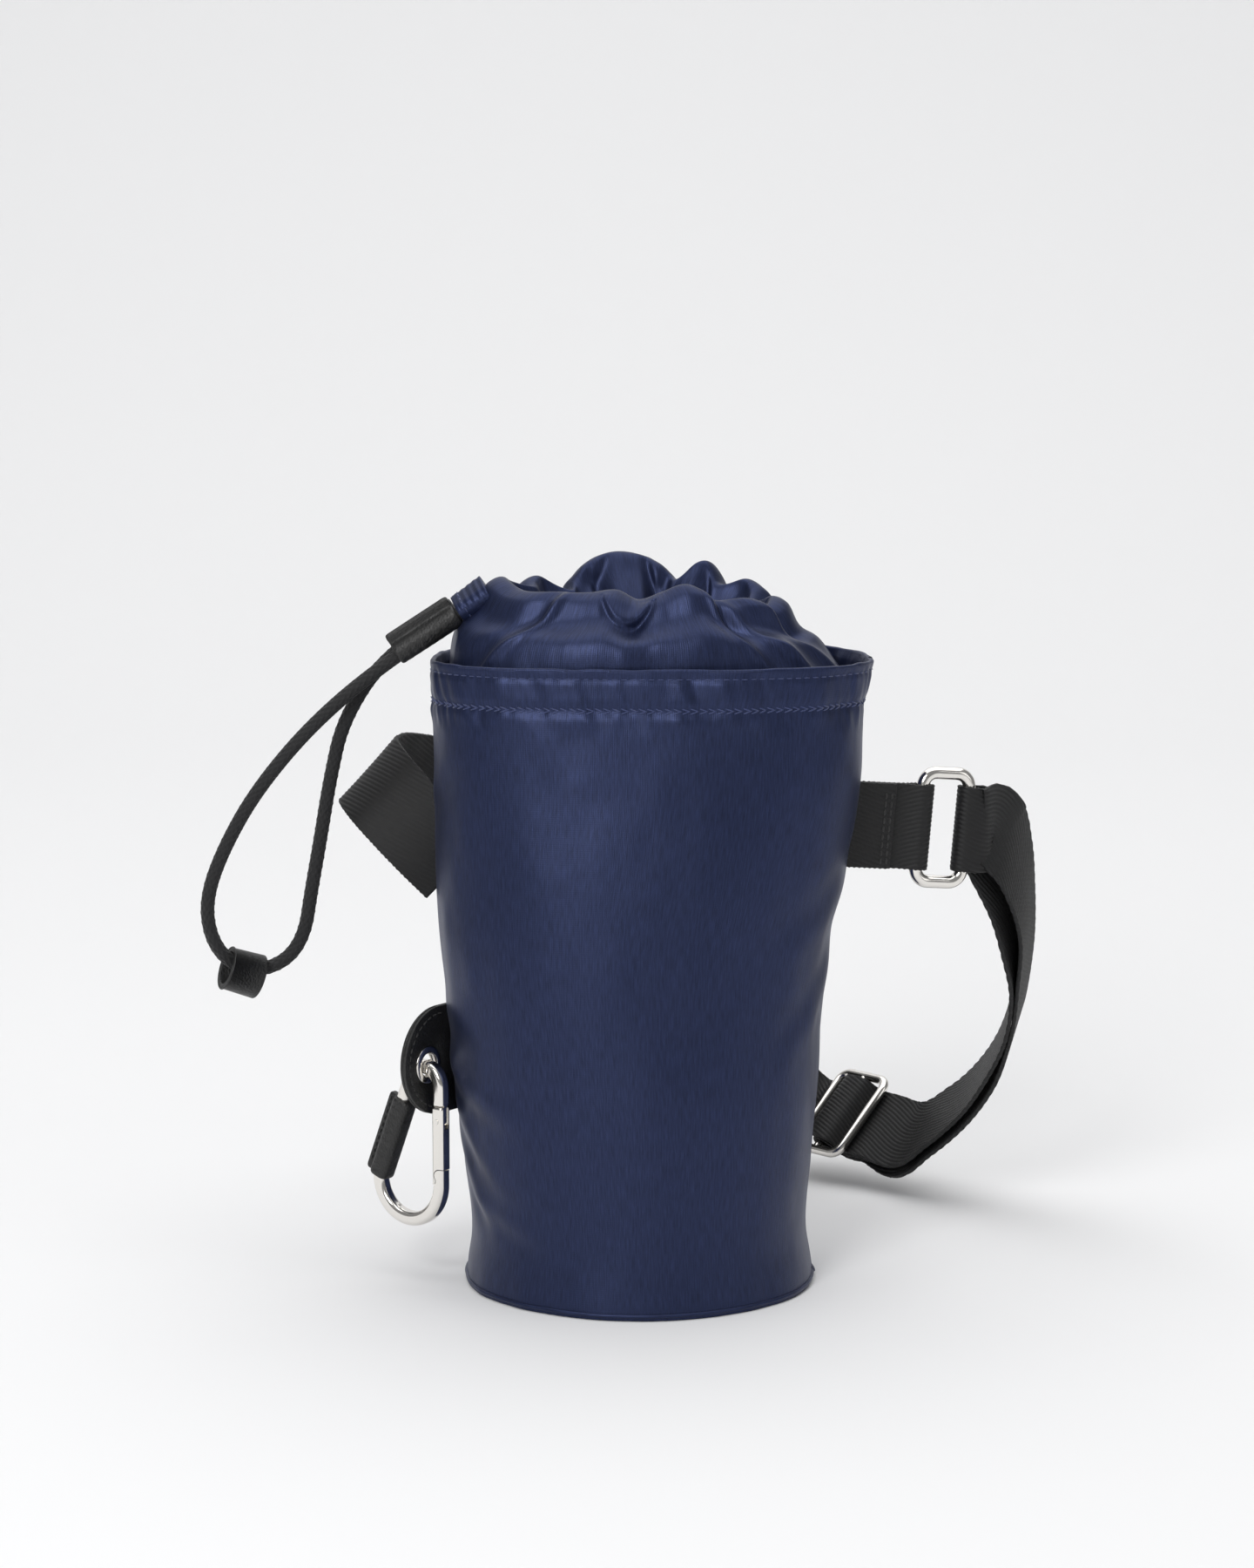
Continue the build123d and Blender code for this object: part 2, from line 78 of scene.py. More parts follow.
def curve(keys, values, x, period=None):
    """Smooth curve through values at keys, which may repeat with a period."""
    k, v = np.asarray(keys, float), np.asarray(values, float)
    if v.ndim == 1:
        return curve(k, v[:, None], x, period)[..., 0]
    x = np.asarray(x, float)
    if period:
        k = np.concatenate([k[-2:] - period, k, k[:2] + period])
        v = np.concatenate([v[-2:], v, v[:2]])
        x = (x - k[2]) % period + k[2]
    m = np.gradient(v, k, axis=0)
    i = np.clip(np.searchsorted(k, x, side="right") - 1, 0, len(k) - 2)
    h = (k[i + 1] - k[i])[..., None]
    t = np.clip((x[..., None] - k[i][..., None]) / h, 0, 1)
    return ((2 * t**3 - 3 * t**2 + 1) * v[i] + (t**3 - 2 * t**2 + t) * h * m[i]
            + (3 * t**2 - 2 * t**3) * v[i + 1] + (t**3 - t**2) * h * m[i + 1])


def through(points, step):
    """Evenly spaced points along a smooth line through points, and each one's key."""
    p = np.asarray(points, float)
    keys = np.concatenate([[0], np.cumsum(np.linalg.norm(np.diff(p, axis=0), axis=1))])
    fine = np.linspace(0, keys[-1], int(keys[-1] / step) * 4 + 8)
    q = curve(keys, p, fine)
    run = np.concatenate([[0], np.cumsum(np.linalg.norm(np.diff(q, axis=0), axis=1))])
    even = np.linspace(0, run[-1], max(int(run[-1] / step), 2) + 1)
    at = np.interp(even, run, fine)
    return curve(keys, p, at), at / keys[-1], even


def noise(x, y, seed, cells=64):
    """Smooth random value between -1 and 1, one bump per unit of x and y."""
    table = np.random.default_rng(seed).uniform(-1, 1, (cells, cells))
    xi, yi = np.floor(x).astype(int), np.floor(y).astype(int)
    fx, fy = x - xi, y - yi
    fx, fy = fx * fx * (3 - 2 * fx), fy * fy * (3 - 2 * fy)
    a, b = table[xi % cells, yi % cells], table[(xi + 1) % cells, yi % cells]
    c, d = table[xi % cells, (yi + 1) % cells], table[(xi + 1) % cells, (yi + 1) % cells]
    return (a * (1 - fx) + b * fx) * (1 - fy) + (c * (1 - fx) + d * fx) * fy


def ramp(x, low, high):
    t = np.clip((np.asarray(x, float) - low) / (high - low), 0, 1)
    return t * t * (3 - 2 * t)


# ------------------------------------------------------------ mesh building
def make_mesh(name, points, faces, material, uv=None, body="bag", smooth=True, slot=None):
    data = bpy.data.meshes.new(name)
    data.from_pydata((np.asarray(points) * MM).tolist(), [], faces)
    data.materials.append(material)
    if uv is not None:
        layer = data.uv_layers.new(name="UVMap")
        corner = np.empty(len(data.loops), int)
        data.loops.foreach_get("vertex_index", corner)
        layer.data.foreach_set("uv", (np.asarray(uv) * MM)[corner].astype(np.float32).ravel())
    data.polygons.foreach_set("use_smooth", [smooth] * len(data.polygons))
    obj = bpy.data.objects.new(name, data)
    bpy.context.scene.collection.objects.link(obj)
    if body:
        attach(obj, body)
    return obj


def grid_faces(n, m, wrap_n=False, wrap_m=False, offset=0):
    i, j = np.meshgrid(np.arange(n - (not wrap_n)), np.arange(m - (not wrap_m)), indexing="ij")
    i2, j2 = (i + 1) % n, (j + 1) % m
    quads = np.stack([i * m + j, i * m + j2, i2 * m + j2, i2 * m + j], -1).reshape(-1, 4)
    return (quads + offset).tolist()


def grid(name, points, material, wrap_n=False, wrap_m=False, caps=False, uv=None, **more):
    """A surface through an n by m array of points; caps close the two ends of a tube."""
    n, m = points.shape[:2]
    faces = grid_faces(n, m, wrap_n, wrap_m)
    if caps:
        faces += [list(range(m))[::-1], list(range((n - 1) * m, n * m))]
    if uv is None:
        across = np.linalg.norm(np.diff(points, axis=1), axis=2).mean(0)
        along = np.linalg.norm(np.diff(points, axis=0), axis=2).mean(1)
        u = np.concatenate([[0], np.cumsum(along)])[:, None] + np.zeros((1, m))
        v = np.concatenate([[0], np.cumsum(across)])[None, :] + np.zeros((n, 1))
        uv = np.stack([v, u], -1)
    return make_mesh(name, points.reshape(-1, 3), faces, material, uv=uv.reshape(-1, 2), **more)


def tube_frames(path):
    """Tangent and two steady normals along a path."""
    t = unit(np.gradient(path, axis=0))
    side = np.zeros_like(t)
    side[0] = unit(np.cross(t[0], (0.13, 0.2, 0.97)))
    for i in range(1, len(t)):
        side[i] = unit(side[i - 1] - t[i] * side[i - 1].dot(t[i]))
    return t, side, np.cross(t, side)


def tube(name, path, radius, material, sides=32, closed=False, **more):
    """Round stock along a path; radius is a number or an array over length and angle."""
    path = np.asarray(path, float)
    t, a, b = tube_frames(path)
    if closed:
        t = unit(np.roll(path, -1, 0) - np.roll(path, 1, 0))
        b = np.broadcast_to(unit(np.cross(path[1] - path[0], path[len(path) // 3] - path[0])), t.shape)
        a = np.cross(b, t)
    phi = np.arange(sides) * TAU / sides
    r = np.broadcast_to(radius, (len(path), sides))[..., None]
    ring = path[:, None] + r * (np.cos(phi)[None, :, None] * a[:, None]
                                + np.sin(phi)[None, :, None] * b[:, None])
    return grid(name, ring, material, wrap_n=closed, wrap_m=True, caps=not closed, **more)


def stitches(name, path, normals, material, pitch=3.3, length=2.5, radius=0.28, lift=0.12, slant=0.0, **more):
    """One row of thread stitches lying on a surface."""
    path, normals = np.asarray(path, float), unit(normals)
    run = np.concatenate([[0], np.cumsum(np.linalg.norm(np.diff(path, axis=0), axis=1))])
    points, faces = [], []
    rng = np.random.default_rng(len(name))
    for k in range(int(run[-1] / pitch)):
        middle = (k + 0.5) * pitch + rng.uniform(-0.1, 0.1)
        at = np.array([np.interp(middle, run, path[:, i]) for i in range(3)])
        n = unit([np.interp(middle, run, normals[:, i]) for i in range(3)])
        ahead = np.array([np.interp(middle + 0.5, run, path[:, i]) for i in range(3)])
        t = unit(ahead - at)
        t = unit(t + np.cross(t, n) * slant)
        s = np.cross(t, n)
        for d in np.linspace(-1, 1, 7):
            r = radius * (1 - 0.75 * d**4)
            centre = at + t * d * length / 2 + n * (lift - 0.22 * d**4)
            for q in np.arange(6) * TAU / 6:
                points.append(centre + r * (np.cos(q) * n + np.sin(q) * s))
        base = len(points) - 42
        faces += grid_faces(7, 6, wrap_m=True, offset=base)
        faces += [[base + i for i in range(6)][::-1], [base + 36 + i for i in range(6)]]
    return make_mesh(name, points, faces, material, **more)


# ------------------------------------------------------------ materials
class Look:
    """A principled material with short calls for its node links."""

    def __init__(self, name, colour, rough, metal=0.0, **sockets):
        self.mat = bpy.data.materials.new(name)
        self.mat.use_nodes = True
        self.tree = self.mat.node_tree
        self.shader = self.tree.nodes["Principled BSDF"]
        self.shader.inputs["Base Color"].default_value = (*colour, 1)
        self.shader.inputs["Roughness"].default_value = rough
        self.shader.inputs["Metallic"].default_value = metal
        for key, value in sockets.items():
            self.shader.inputs[key.replace("_", " ")].default_value = value
        self.height = None

    def node(self, kind, **inputs):
        n = self.tree.nodes.new("ShaderNode" + kind)
        for key, value in inputs.items():
            n.inputs[key.replace("_", " ")].default_value = value
        return n

    def link(self, a, b):
        self.tree.links.new(a, b)

    def coordinates(self, kind, scale):
        place = self.node("TexCoord")
        mapping = self.node("Mapping", Scale=scale)
        self.link(place.outputs[kind], mapping.inputs["Vector"])
        return mapping.outputs[0]

    def noise(self, kind, scale, detail=3.0, rough=0.55):
        n = self.node("TexNoise", Detail=detail, Roughness=rough, Scale=1.0)
        self.link(self.coordinates(kind, scale), n.inputs["Vector"])
        return n.outputs["Fac"]

    def cells(self, kind, scale):
        n = self.node("TexVoronoi", Scale=1.0)
        self.link(self.coordinates(kind, scale), n.inputs["Vector"])
        return n.outputs["Distance"]

    def waves(self, kind, scale, direction="X", warp=0.0):
        n = self.node("TexWave", Scale=1.0, Distortion=warp, Detail=1.0)
        n.bands_direction = direction
        self.link(self.coordinates(kind, scale), n.inputs["Vector"])
        return n.outputs["Fac"]

    def bump(self, source, distance, strength=1.0):
        """Adds one layer of relief, its depth in millimetres."""
        b = self.node("Bump", Distance=distance * MM, Strength=strength)
        self.link(source, b.inputs["Height"])
        if self.height is not None:
            self.link(self.height, b.inputs["Normal"])
        self.height = b.outputs["Normal"]
        self.link(self.height, self.shader.inputs["Normal"])

    def between(self, source, low, high, socket):
        """Maps a 0 to 1 pattern onto a socket: a number, or a colour."""
        if isinstance(low, tuple):
            mix = self.node("ValToRGB")
            mix.color_ramp.elements[0].position, mix.color_ramp.elements[1].position = 0.3, 0.7
            mix.color_ramp.elements[0].color = (*low, 1)
            mix.color_ramp.elements[1].color = (*high, 1)
            self.link(source, mix.inputs[0])
        else:
            mix = self.node("MapRange")
            mix.inputs["To Min"].default_value = low
            mix.inputs["To Max"].default_value = high
            self.link(source, mix.inputs[0])
        self.link(mix.outputs[0], self.shader.inputs[socket])


def nylon(name, dark, light, sheen=0.10):
    look = Look(name, dark, 0.42, metal=0.70, Sheen_Weight=sheen, Sheen_Roughness=0.4,
                Sheen_Tint=(0.35, 0.36, 0.42, 1), Specular_IOR_Level=0.5)
    slub = look.noise("UV", (1900, 150, 1), 4.0, 0.6)
    look.between(slub, dark, light, "Base Color")
    look.between(look.noise("UV", (60, 60, 1)), 0.39, 0.46, "Roughness")
    look.bump(look.waves("UV", (520, 520, 1), "X"), 0.035, 0.5)
    look.bump(look.waves("UV", (430, 430, 1), "Y"), 0.02, 0.4)
    look.bump(slub, 0.06, 0.5)
    look.bump(look.noise("UV", (110, 70, 1), 3.0), 0.35, 0.35)
    return look.mat


def leather(name, colour, rough=0.46, grain=1300):
    look = Look(name, colour, rough, Specular_IOR_Level=0.5)
    skin = look.cells("Object", (grain, grain, grain * 0.7))
    look.between(look.noise("Object", (300, 300, 300)), rough - 0.08, rough + 0.1, "Roughness")
    look.bump(skin, 0.22, 0.7)
    look.bump(look.noise("Object", (grain * 1.6, grain * 0.5, grain * 1.6)), 0.10, 0.5)
    return look.mat


def metal(name, colour, rough):
    look = Look(name, colour, rough, metal=1.0)
    look.between(look.noise("Object", (260, 260, 260), 5.0), rough - 0.04, rough + 0.09, "Roughness")
    look.bump(look.noise("Object", (2200, 300, 2200), 2.0), 0.006, 0.3)
    return look.mat


def fibre(name, colour, rough, scale, sheen):
    look = Look(name, colour, rough, Sheen_Weight=sheen, Sheen_Roughness=0.5, Specular_IOR_Level=0.35)
    threads = look.waves("UV", scale, "X", 0.6)
    look.between(look.noise("UV", (500, 500, 1)), rough - 0.08, rough + 0.08, "Roughness")
    look.bump(threads, 0.05, 0.6)
    look.bump(look.noise("UV", (1500, 1500, 1)), 0.05, 0.5)
    return look.mat


NAVY = nylon("navy_nylon", (0.013, 0.019, 0.052), (0.024, 0.035, 0.096))
LINING = nylon("dark_lining", (0.012, 0.015, 0.034), (0.018, 0.023, 0.05), 0.05)
THREAD = fibre("navy_thread", (0.030, 0.045, 0.135), 0.5, (2500, 900, 1), 0.3)
BLACK_THREAD = fibre("black_thread", (0.02, 0.02, 0.02), 0.6, (2500, 900, 1), 0.2)
WEBBING = fibre("black_webbing", (0.0075, 0.0075, 0.008), 0.5, (1500, 1500, 1), 0.03)
ELASTIC = fibre("braided_elastic", (0.011, 0.011, 0.012), 0.62, (1500, 1500, 1), 0.12)
LEATHER = leather("black_leather", (0.012, 0.012, 0.012))
NICKEL = metal("polished_nickel", (0.80, 0.775, 0.735), 0.13)
BOARD = leather("base_board", (0.03, 0.03, 0.03), 0.7, 400)


# ------------------------------------------------------------ the body of the bag
HEIGHT, HEM = 230.0, 214.0
# The wall at each height: z, left, right, front and back reach, squareness
ROWS = [
    (0, -64.2, 64.0, 64.0, 64.5, 2.0),
    (7, -63.6, 63.2, 63.2, 64.0, 2.0),
    (18, -62.2, 61.6, 62.0, 62.8, 2.0),
    (45, -64.6, 63.0, 60.6, 62.3, 2.03),
    (75, -68.0, 65.4, 59.0, 61.8, 2.06),
    (102, -70.6, 66.6, 56.6, 61.2, 2.1),
    (130, -73.6, 69.6, 54.0, 60.3, 2.15),
    (158, -74.6, 75.6, 50.6, 59.4, 2.25),
    (188, -74.8, 80.2, 46.5, 58.3, 2.4),
    (210, -75.4, 81.0, 43.8, 57.6, 2.5),
    (HEIGHT, -76.0, 84.0, 41.8, 57.6, 2.6),
]


def creases(theta, z):
    """How far the cloth stands out from its smooth shape, in millimetres."""
    theta, z = np.asarray(theta, float), np.asarray(z, float)
    side = (theta - pi) * 66  # distance round the front from the left seam
    out = 0.55 * noise(theta * 3.1 + 7, z / 38, 4) + 0.22 * noise(theta * 8, z / 17, 9)
    for start, end, depth, width in (((2, 84), (62, 66), 0.9, 5.0), ((2, 74), (48, 42), 0.8, 4.5),
                                     ((4, 60), (40, 22), 0.7, 4.0), ((0, 102), (44, 104), 0.5, 6.0),
                                     ((20, 36), (70, 26), 0.6, 4.0), ((205, 150), (150, 120), 0.7, 7.0),
                                     ((204, 122), (160, 84), 0.6, 6.0), ((2, 180), (40, 200), 0.5, 5.0)):
        a, b = np.array(start, float), np.array(end, float)
        run = b - a
        along = ((side - a[0]) * run[0] + (z - a[1]) * run[1]) / run.dot(run)
        off = ((side - a[0]) * run[1] - (z - a[1]) * run[0]) / np.hypot(*run)
        shape = np.exp(-(off / width) ** 2) - 0.7 * np.exp(-((off - 1.7 * width) / width) ** 2)
        out = out + depth * shape * ramp(along, -0.25, 0.15) * ramp(-along, -1.15, -0.5)
    band = ramp(z, 205, 213) * ramp(-z, -230.5, -224)
    out = out + band * (0.75 * noise(theta * 7.5 + z / 25, z / 30, 21)
                        + 0.5 * noise(theta * 17 + z / 12, z / 16, 22))
    seam = np.exp(-((z - 215.2) / 2.2) ** 2) * 0.55 + np.exp(-((z - 226.4) / 1.3) ** 2) * 0.3
    return out - seam * (1 + 0.5 * noise(theta * 26, z * 0, 23))


def shell(theta, z, inset=0.0, folds=1.0):
    """A point of the bag's wall, given the way round it and the height."""
    theta, z = np.broadcast_arrays(np.asarray(theta, float), np.asarray(z, float))
    left, right, front, back, power = np.moveaxis(
        curve([r[0] for r in ROWS], [r[1:] for r in ROWS], z), -1, 0)
    c, s = np.cos(theta), np.sin(theta)
    r = (np.abs(c) ** power + np.abs(s) ** power) ** (-1 / power)
    out = creases(theta, z) * folds - inset
    x = (left + right) / 2 + ((right - left) / 2 + out) * r * c
    y = (np.where(s > 0, back, front) + out) * r * s
    return np.stack([x, y, z], -1)


def outward(theta, z, inset=0.0):
    a = shell(theta + 0.01, z, inset, 0.3) - shell(theta - 0.01, z, inset, 0.3)
    b = shell(theta, z + 0.5, inset, 0.3) - shell(theta, z - 0.5, inset, 0.3)
    return unit(np.cross(a, b))


def panel(name, start, end, node, lip):
    """Half of the wall, from under the base edge, up, over the rim and down to the hem's foot."""
    theta = np.linspace(start, end, 420)[None, :]
    z = np.concatenate([np.linspace(0.4, 211, 230), np.linspace(211.4, HEIGHT - 0.9, 60)])
    turn = np.linspace(0, pi, 9)[:, None]
    seam_edge = lip * ramp(1 - np.minimum(np.abs(theta - start), np.abs(theta - end)) / 0.05, 0, 1)
    outer = shell(theta, z[:, None], seam_edge)
    top_z = HEIGHT - 0.9 + 0.9 * np.sin(turn) + 0.25 * noise(theta * 11, theta * 0, 31)
    rim = shell(theta, np.full_like(turn, HEIGHT - 0.9), 0.9 * (1 - np.cos(turn)))
    rim[..., 2] = top_z
    down = np.linspace(HEIGHT - 1.5, HEM - 3, 24)[:, None]
    inner = shell(theta, down, 1.9 + 0.25 * noise(theta * 14, down / 9, 33))
    foot = shell(theta, np.zeros((2, 1)) + 0.05, np.array([[3.2], [0.5]]))
    points = np.concatenate([foot, outer, rim, inner])
    obj = grid(name, points, NAVY, slot="navy_nylon")
    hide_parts(node)
    return obj


front = panel("front_panel_cloth", pi - 0.012, TAU + 0.012, "front_panel", 0.0)
back = panel("back_panel_cloth", 0.0, pi, "back_panel", 0.9)
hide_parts("rim_facing")


def round_row(name, z, start, end, material=THREAD, inset=0.0, **more):
    """A stitch row round the wall at one height."""
    theta = np.linspace(start, end, 500)
    path = shell(theta, np.full(500, z), inset)
    return stitches(name, path, outward(theta, np.full(500, z)), material, slot="navy_nylon", **more)


round_row("rim_topstitch_front", 226.4, pi + 0.03, TAU - 0.03, length=2.3, radius=0.2)
round_row("rim_topstitch_back", 226.4, 0.03, pi - 0.03, length=2.3, radius=0.2)
for number, (height, slant) in enumerate(((215.7, 0.35), (214.8, -0.35))):
    round_row(f"hem_chain_front_{number}", height, pi + 0.03, TAU - 0.03,
              pitch=3.1, length=3.3, radius=0.26, slant=slant)
    round_row(f"hem_chain_back_{number}", height, 0.03, pi - 0.03,
              pitch=3.1, length=3.3, radius=0.26, slant=slant)
for tag, angle in (("left", pi - 0.035), ("right", 0.035)):
    heights = np.linspace(9, 208, 300)
    line = np.full(300, angle)
    stitches(f"seam_stitch_{tag}", shell(line, heights, 0.9), outward(line, heights), THREAD,
             pitch=3.2, length=2.4, radius=0.24, slot="navy_nylon")

theta = np.linspace(0, TAU, 240, endpoint=False)[None, :]
levels = np.linspace(4.6, HEM - 0.5, 60)[:, None]
lining = grid("lining_tube_cloth", shell(theta, levels, 2.3 + 0.5 * noise(theta * 6, levels / 30, 41), 0.4),
              LINING, wrap_m=True, slot="dark_lining")
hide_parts("lining_tube")


def revolve(name, profile, material, origin=(0, 0, 0), axis=(0, 0, 1), count=96, bend=None, **more):
    """Turns a closed profile of (radius, height) round an axis."""
    axis = unit(axis)
    side = unit(np.cross(axis, (0.31, 0.17, 0.93)) if abs(axis[2]) < 0.9 else (1, 0, 0))
    other = np.cross(axis, side)
    a = np.arange(count) * TAU / count
    rz = np.asarray(profile, float)[None] + np.zeros((count, 1, 1))
    if bend is not None:
        rz = bend(a[:, None], rz)
    spoke = np.cos(a)[:, None, None] * side + np.sin(a)[:, None, None] * other
    points = np.asarray(origin) + rz[..., :1] * spoke + rz[..., 1:] * axis
    return grid(name, points[:, ::-1], material, wrap_n=True, wrap_m=True, **more)


def disc_profile(radius, low, high, edge):
    """Half of a flat disc's outline, with a rounded rim."""
    arc = [(radius - edge + edge * np.cos(a), (low + high) / 2 + (high - low) / 2 * np.sin(a))
           for a in np.linspace(-pi / 2, pi / 2, 9)]
    flat = np.linspace(0.05, radius - edge, 12)
    return [(r, low) for r in flat[:-1]] + arc + [(r, high) for r in flat[::-1][1:]]


base = revolve("base_panel_cloth", disc_profile(63.3, 0.0, 1.3, 0.8), NAVY, slot="navy_nylon")
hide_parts("base_panel")
board = revolve("base_board_sheet", disc_profile(62.3, 1.3, 3.2, 0.5), BOARD, slot="base_board")
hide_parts("base_board")
floor_lining = revolve("lining_base_cloth", disc_profile(62.2, 3.25, 3.75, 0.2), LINING, slot="dark_lining")
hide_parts("lining_base")
theta = np.linspace(0, TAU, 360, endpoint=False)
seam_line = shell(theta, np.full(360, 1.9), -0.1)
tube("base_binding", seam_line, 0.75, NAVY, sides=10, closed=True, slot="navy_nylon")


# ------------------------------------------------------------ the gathered collar
# Round the mouth: direction in degrees, reach from the middle, height, and 1 where a fold dives in
LOBES = [
    (0, 51, 251.5, 0), (13, 48, 249.0, 1), (26, 46, 256.0, 0), (37, 41, 254.0, 1), (47, 38, 262.0, 0),
    (61, 33, 255.5, 1), (76, 32, 261.0, 0), (93, 33, 264.5, 0), (110, 34, 265.0, 0), (127, 35, 261.0, 0),
    (144, 37, 252.0, 1), (157, 44, 257.5, 0), (169, 46, 254.5, 1), (183, 53, 258.8, 0), (199, 48, 255.0, 0),
    (215, 40, 255.0, 0), (232, 33, 255.0, 0), (250, 29, 256.0, 0), (268, 26, 252.5, 0), (286, 28, 255.0, 0),
    (304, 33, 258.0, 0), (321, 39, 252.0, 1), (334, 46, 252.5, 0), (347, 50, 248.0, 1),
]
# Sharp folds in the collar's wall: direction at the foot, direction at the top, and how far out
RIDGES = [
    (200, 223, 2.0), (326, 311, 1.8), (341, 322, 2.0), (354, 338, 1.7), (172, 178, 1.0),
    (8, 20, 1.5), (60, 48, 1.4), (98, 84, 1.4), (150, 136, 1.5),
]
# Folds running down into the mouth: direction at the crest, twist towards the centre, depth
GATHERS = [
    (22, 14, 2.6), (44, -12, 3.0), (66, 16, 3.2), (88, -20, 3.4), (112, 24, 2.6), (131, -14, 3.2),
    (152, 12, 2.8), (176, -10, 2.4), (208, 12, 2.2), (246, -8, 2.2), (282, 10, 2.2), (318, -10, 2.2),
]
CENTRE = np.array([0.0, 4.0])
COLLAR_LOW = 206.0  # height of the collar's sewn edge, inside the hem


def collar_foot(phi):
    """Reach of the collar's foot inside the rim."""
    left, right, front, back, power = 70.5, 78.0, 38.5, 52.5, 2.5
    c, s = np.cos(phi), np.sin(phi)
    wide = np.where(c > 0, right, left)
    deep = np.where(s > 0, back - CENTRE[1], front + CENTRE[1])
    return (np.abs(c / wide) ** power + np.abs(s / deep) ** power) ** (-1 / power)


def collar_points(n=900, m=150):
    phi = np.arange(n) * TAU / n
    angles = np.radians([row[0] for row in LOBES])
    reach, top = (curve(angles, [row[k] for row in LOBES], phi, TAU) for k in (1, 2))
    foot = collar_foot(phi)
    waist = np.minimum(foot * 0.95, reach + 15)
    keys = [0, 0.14, 0.32, 0.48, 0.58, 0.66, 0.75, 0.86, 1.0]
    r = np.stack([foot, foot * 0.985, waist, reach + 6.5, reach + 2.2, reach - 3.5, reach - 9.0,
                  np.maximum(reach * 0.42, 11), np.full(n, 8.0)], -1)
    low = np.full(n, COLLAR_LOW)
    z = np.stack([low, low + 13, top * 0.45 + 123, top - 9.5, top - 1.8, top + 0.2, top - 7.0, top - 21,
                  top * 0.2 + 171], -1)
    v = np.linspace(0, 1, m)
    radius = curve(keys, r.T, v)
    height = curve(keys, z.T, v)
    for lobe in LOBES:
        if lobe[3]:
            gap = (phi[None, :] - radians(lobe[0]) + pi) % TAU - pi
            line = np.exp(-(gap / radians(4.5)) ** 2)
            radius = radius - line * 2.6 * ramp(v, 0.25, 0.55)[:, None]
    for low_way, top_way, out in RIDGES:
        way = low_way + (top_way - low_way) * ramp(v, 0.0, 0.62)[:, None]
        gap = ((phi[None, :] - np.radians(way) + pi) % TAU - pi) * np.sign(top_way - low_way)
        shape = np.exp(-(gap / radians(2.5)) ** 2) - 0.9 * np.exp(-((gap + radians(6.5)) / radians(4.5)) ** 2)
        radius = radius + out * shape * (ramp(v, 0.06, 0.3) * ramp(-v, -0.72, -0.58))[:, None]
    for way, twist, depth in GATHERS:
        gap = (phi[None, :] - np.radians(way + twist * ramp(v, 0.6, 1.0)[:, None]) + pi) % TAU - pi
        radius = radius + depth * np.exp(-(gap / radians(5.5)) ** 2) * ramp(v, 0.63, 0.78)[:, None]
    degree = np.degrees(phi)[None, :]
    bowl = height - (243.0 + 0.035 * (degree - 262) ** 2)
    smile = 1.7 * np.exp(-((bowl - 3.4) / 2.6) ** 2) - 2.0 * np.exp(-((bowl + 1.2) / 2.4) ** 2)
    radius = radius + smile * np.exp(-((degree - 264) / 15) ** 2) * (v[:, None] < 0.6)
    wobble = noise(phi[None, :] * 3.3, v[:, None] * 4, 51)
    wobble = wobble + 0.25 * noise(phi[None, :] * 9, v[:, None] * 8, 52)
    radius = radius + wobble * ramp(v, 0.02, 0.3)[:, None]
    x = CENTRE[0] + radius * np.cos(phi)
    y = CENTRE[1] + radius * np.sin(phi)
    return np.stack([x, y, height], -1)


COLLAR = collar_points()
collar = grid("collar_cloth", COLLAR, NAVY, wrap_m=True, slot="navy_nylon")
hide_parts("drawstring_collar", "cord_casing")


# ------------------------------------------------------------ webbing
class Ribbon:
    """Webbing along a row of (centre, across) stations; pieces of it share one smooth line."""
    WIDTH, THICK, RIB = 32.0, 1.5, 1.66

    def __init__(self, stations, step=0.8):
        centres = np.array([c for c, _ in stations], float)
        keys = np.concatenate([[0], np.cumsum(np.linalg.norm(np.diff(centres, axis=0), axis=1))])
        self.keys = keys / keys[-1]
        self.path, self.at, self.run = through(centres, step)
        self.w = curve(self.keys, unit([w for _, w in stations]), self.at)

    def piece(self, name, first, last, body="bag", slot="black_webbing", fine=122):
        """The stretch between two stations."""
        a, b = (int(np.abs(self.at - self.keys[k]).argmin()) for k in (first, last))
        t = unit(np.gradient(self.path, axis=0))
        w = unit(self.w - t * (self.w * t).sum(-1, keepdims=True))
        n = np.cross(t, w)
        cut = slice(a, b + 1)
        path, w, n, run = self.path[cut, None], w[cut, None], n[cut, None], self.run[cut, None]
        half, thick = self.WIDTH / 2, self.THICK / 2
        flat = np.linspace(half - 0.4, -half + 0.4, fine)
        edge = np.array([0.15, 0.0, 0.15])
        side = np.concatenate([flat, -half + edge, flat[::-1], half - edge])[None]
        up = np.concatenate([np.ones(fine), [0.6, 0, -0.6], -np.ones(fine), [-0.6, 0, 0.6]])[None] * thick
        rib = np.abs(np.sin(pi * (side + 0.32 * run) / self.RIB)) ** 0.8
        weave = 0.035 * np.sin(TAU * run / 1.6 + TAU * side / 5)
        tooth = 0.42 * (0.5 + 0.5 * np.cos(TAU * run / 2.0 + (side > 0))) * (np.abs(side) > half - 0.3)
        up = up + np.sign(up) * ((rib - 0.75) * 0.36 + weave)
        side_out = side - np.sign(side) * tooth
        points = path + w * side_out[..., None] + n * up[..., None]
        uv = np.stack([side + 0 * run, run + 0 * side], -1)
        return grid(name, points, WEBBING, wrap_m=True, caps=True, uv=uv, body=body, slot=slot)


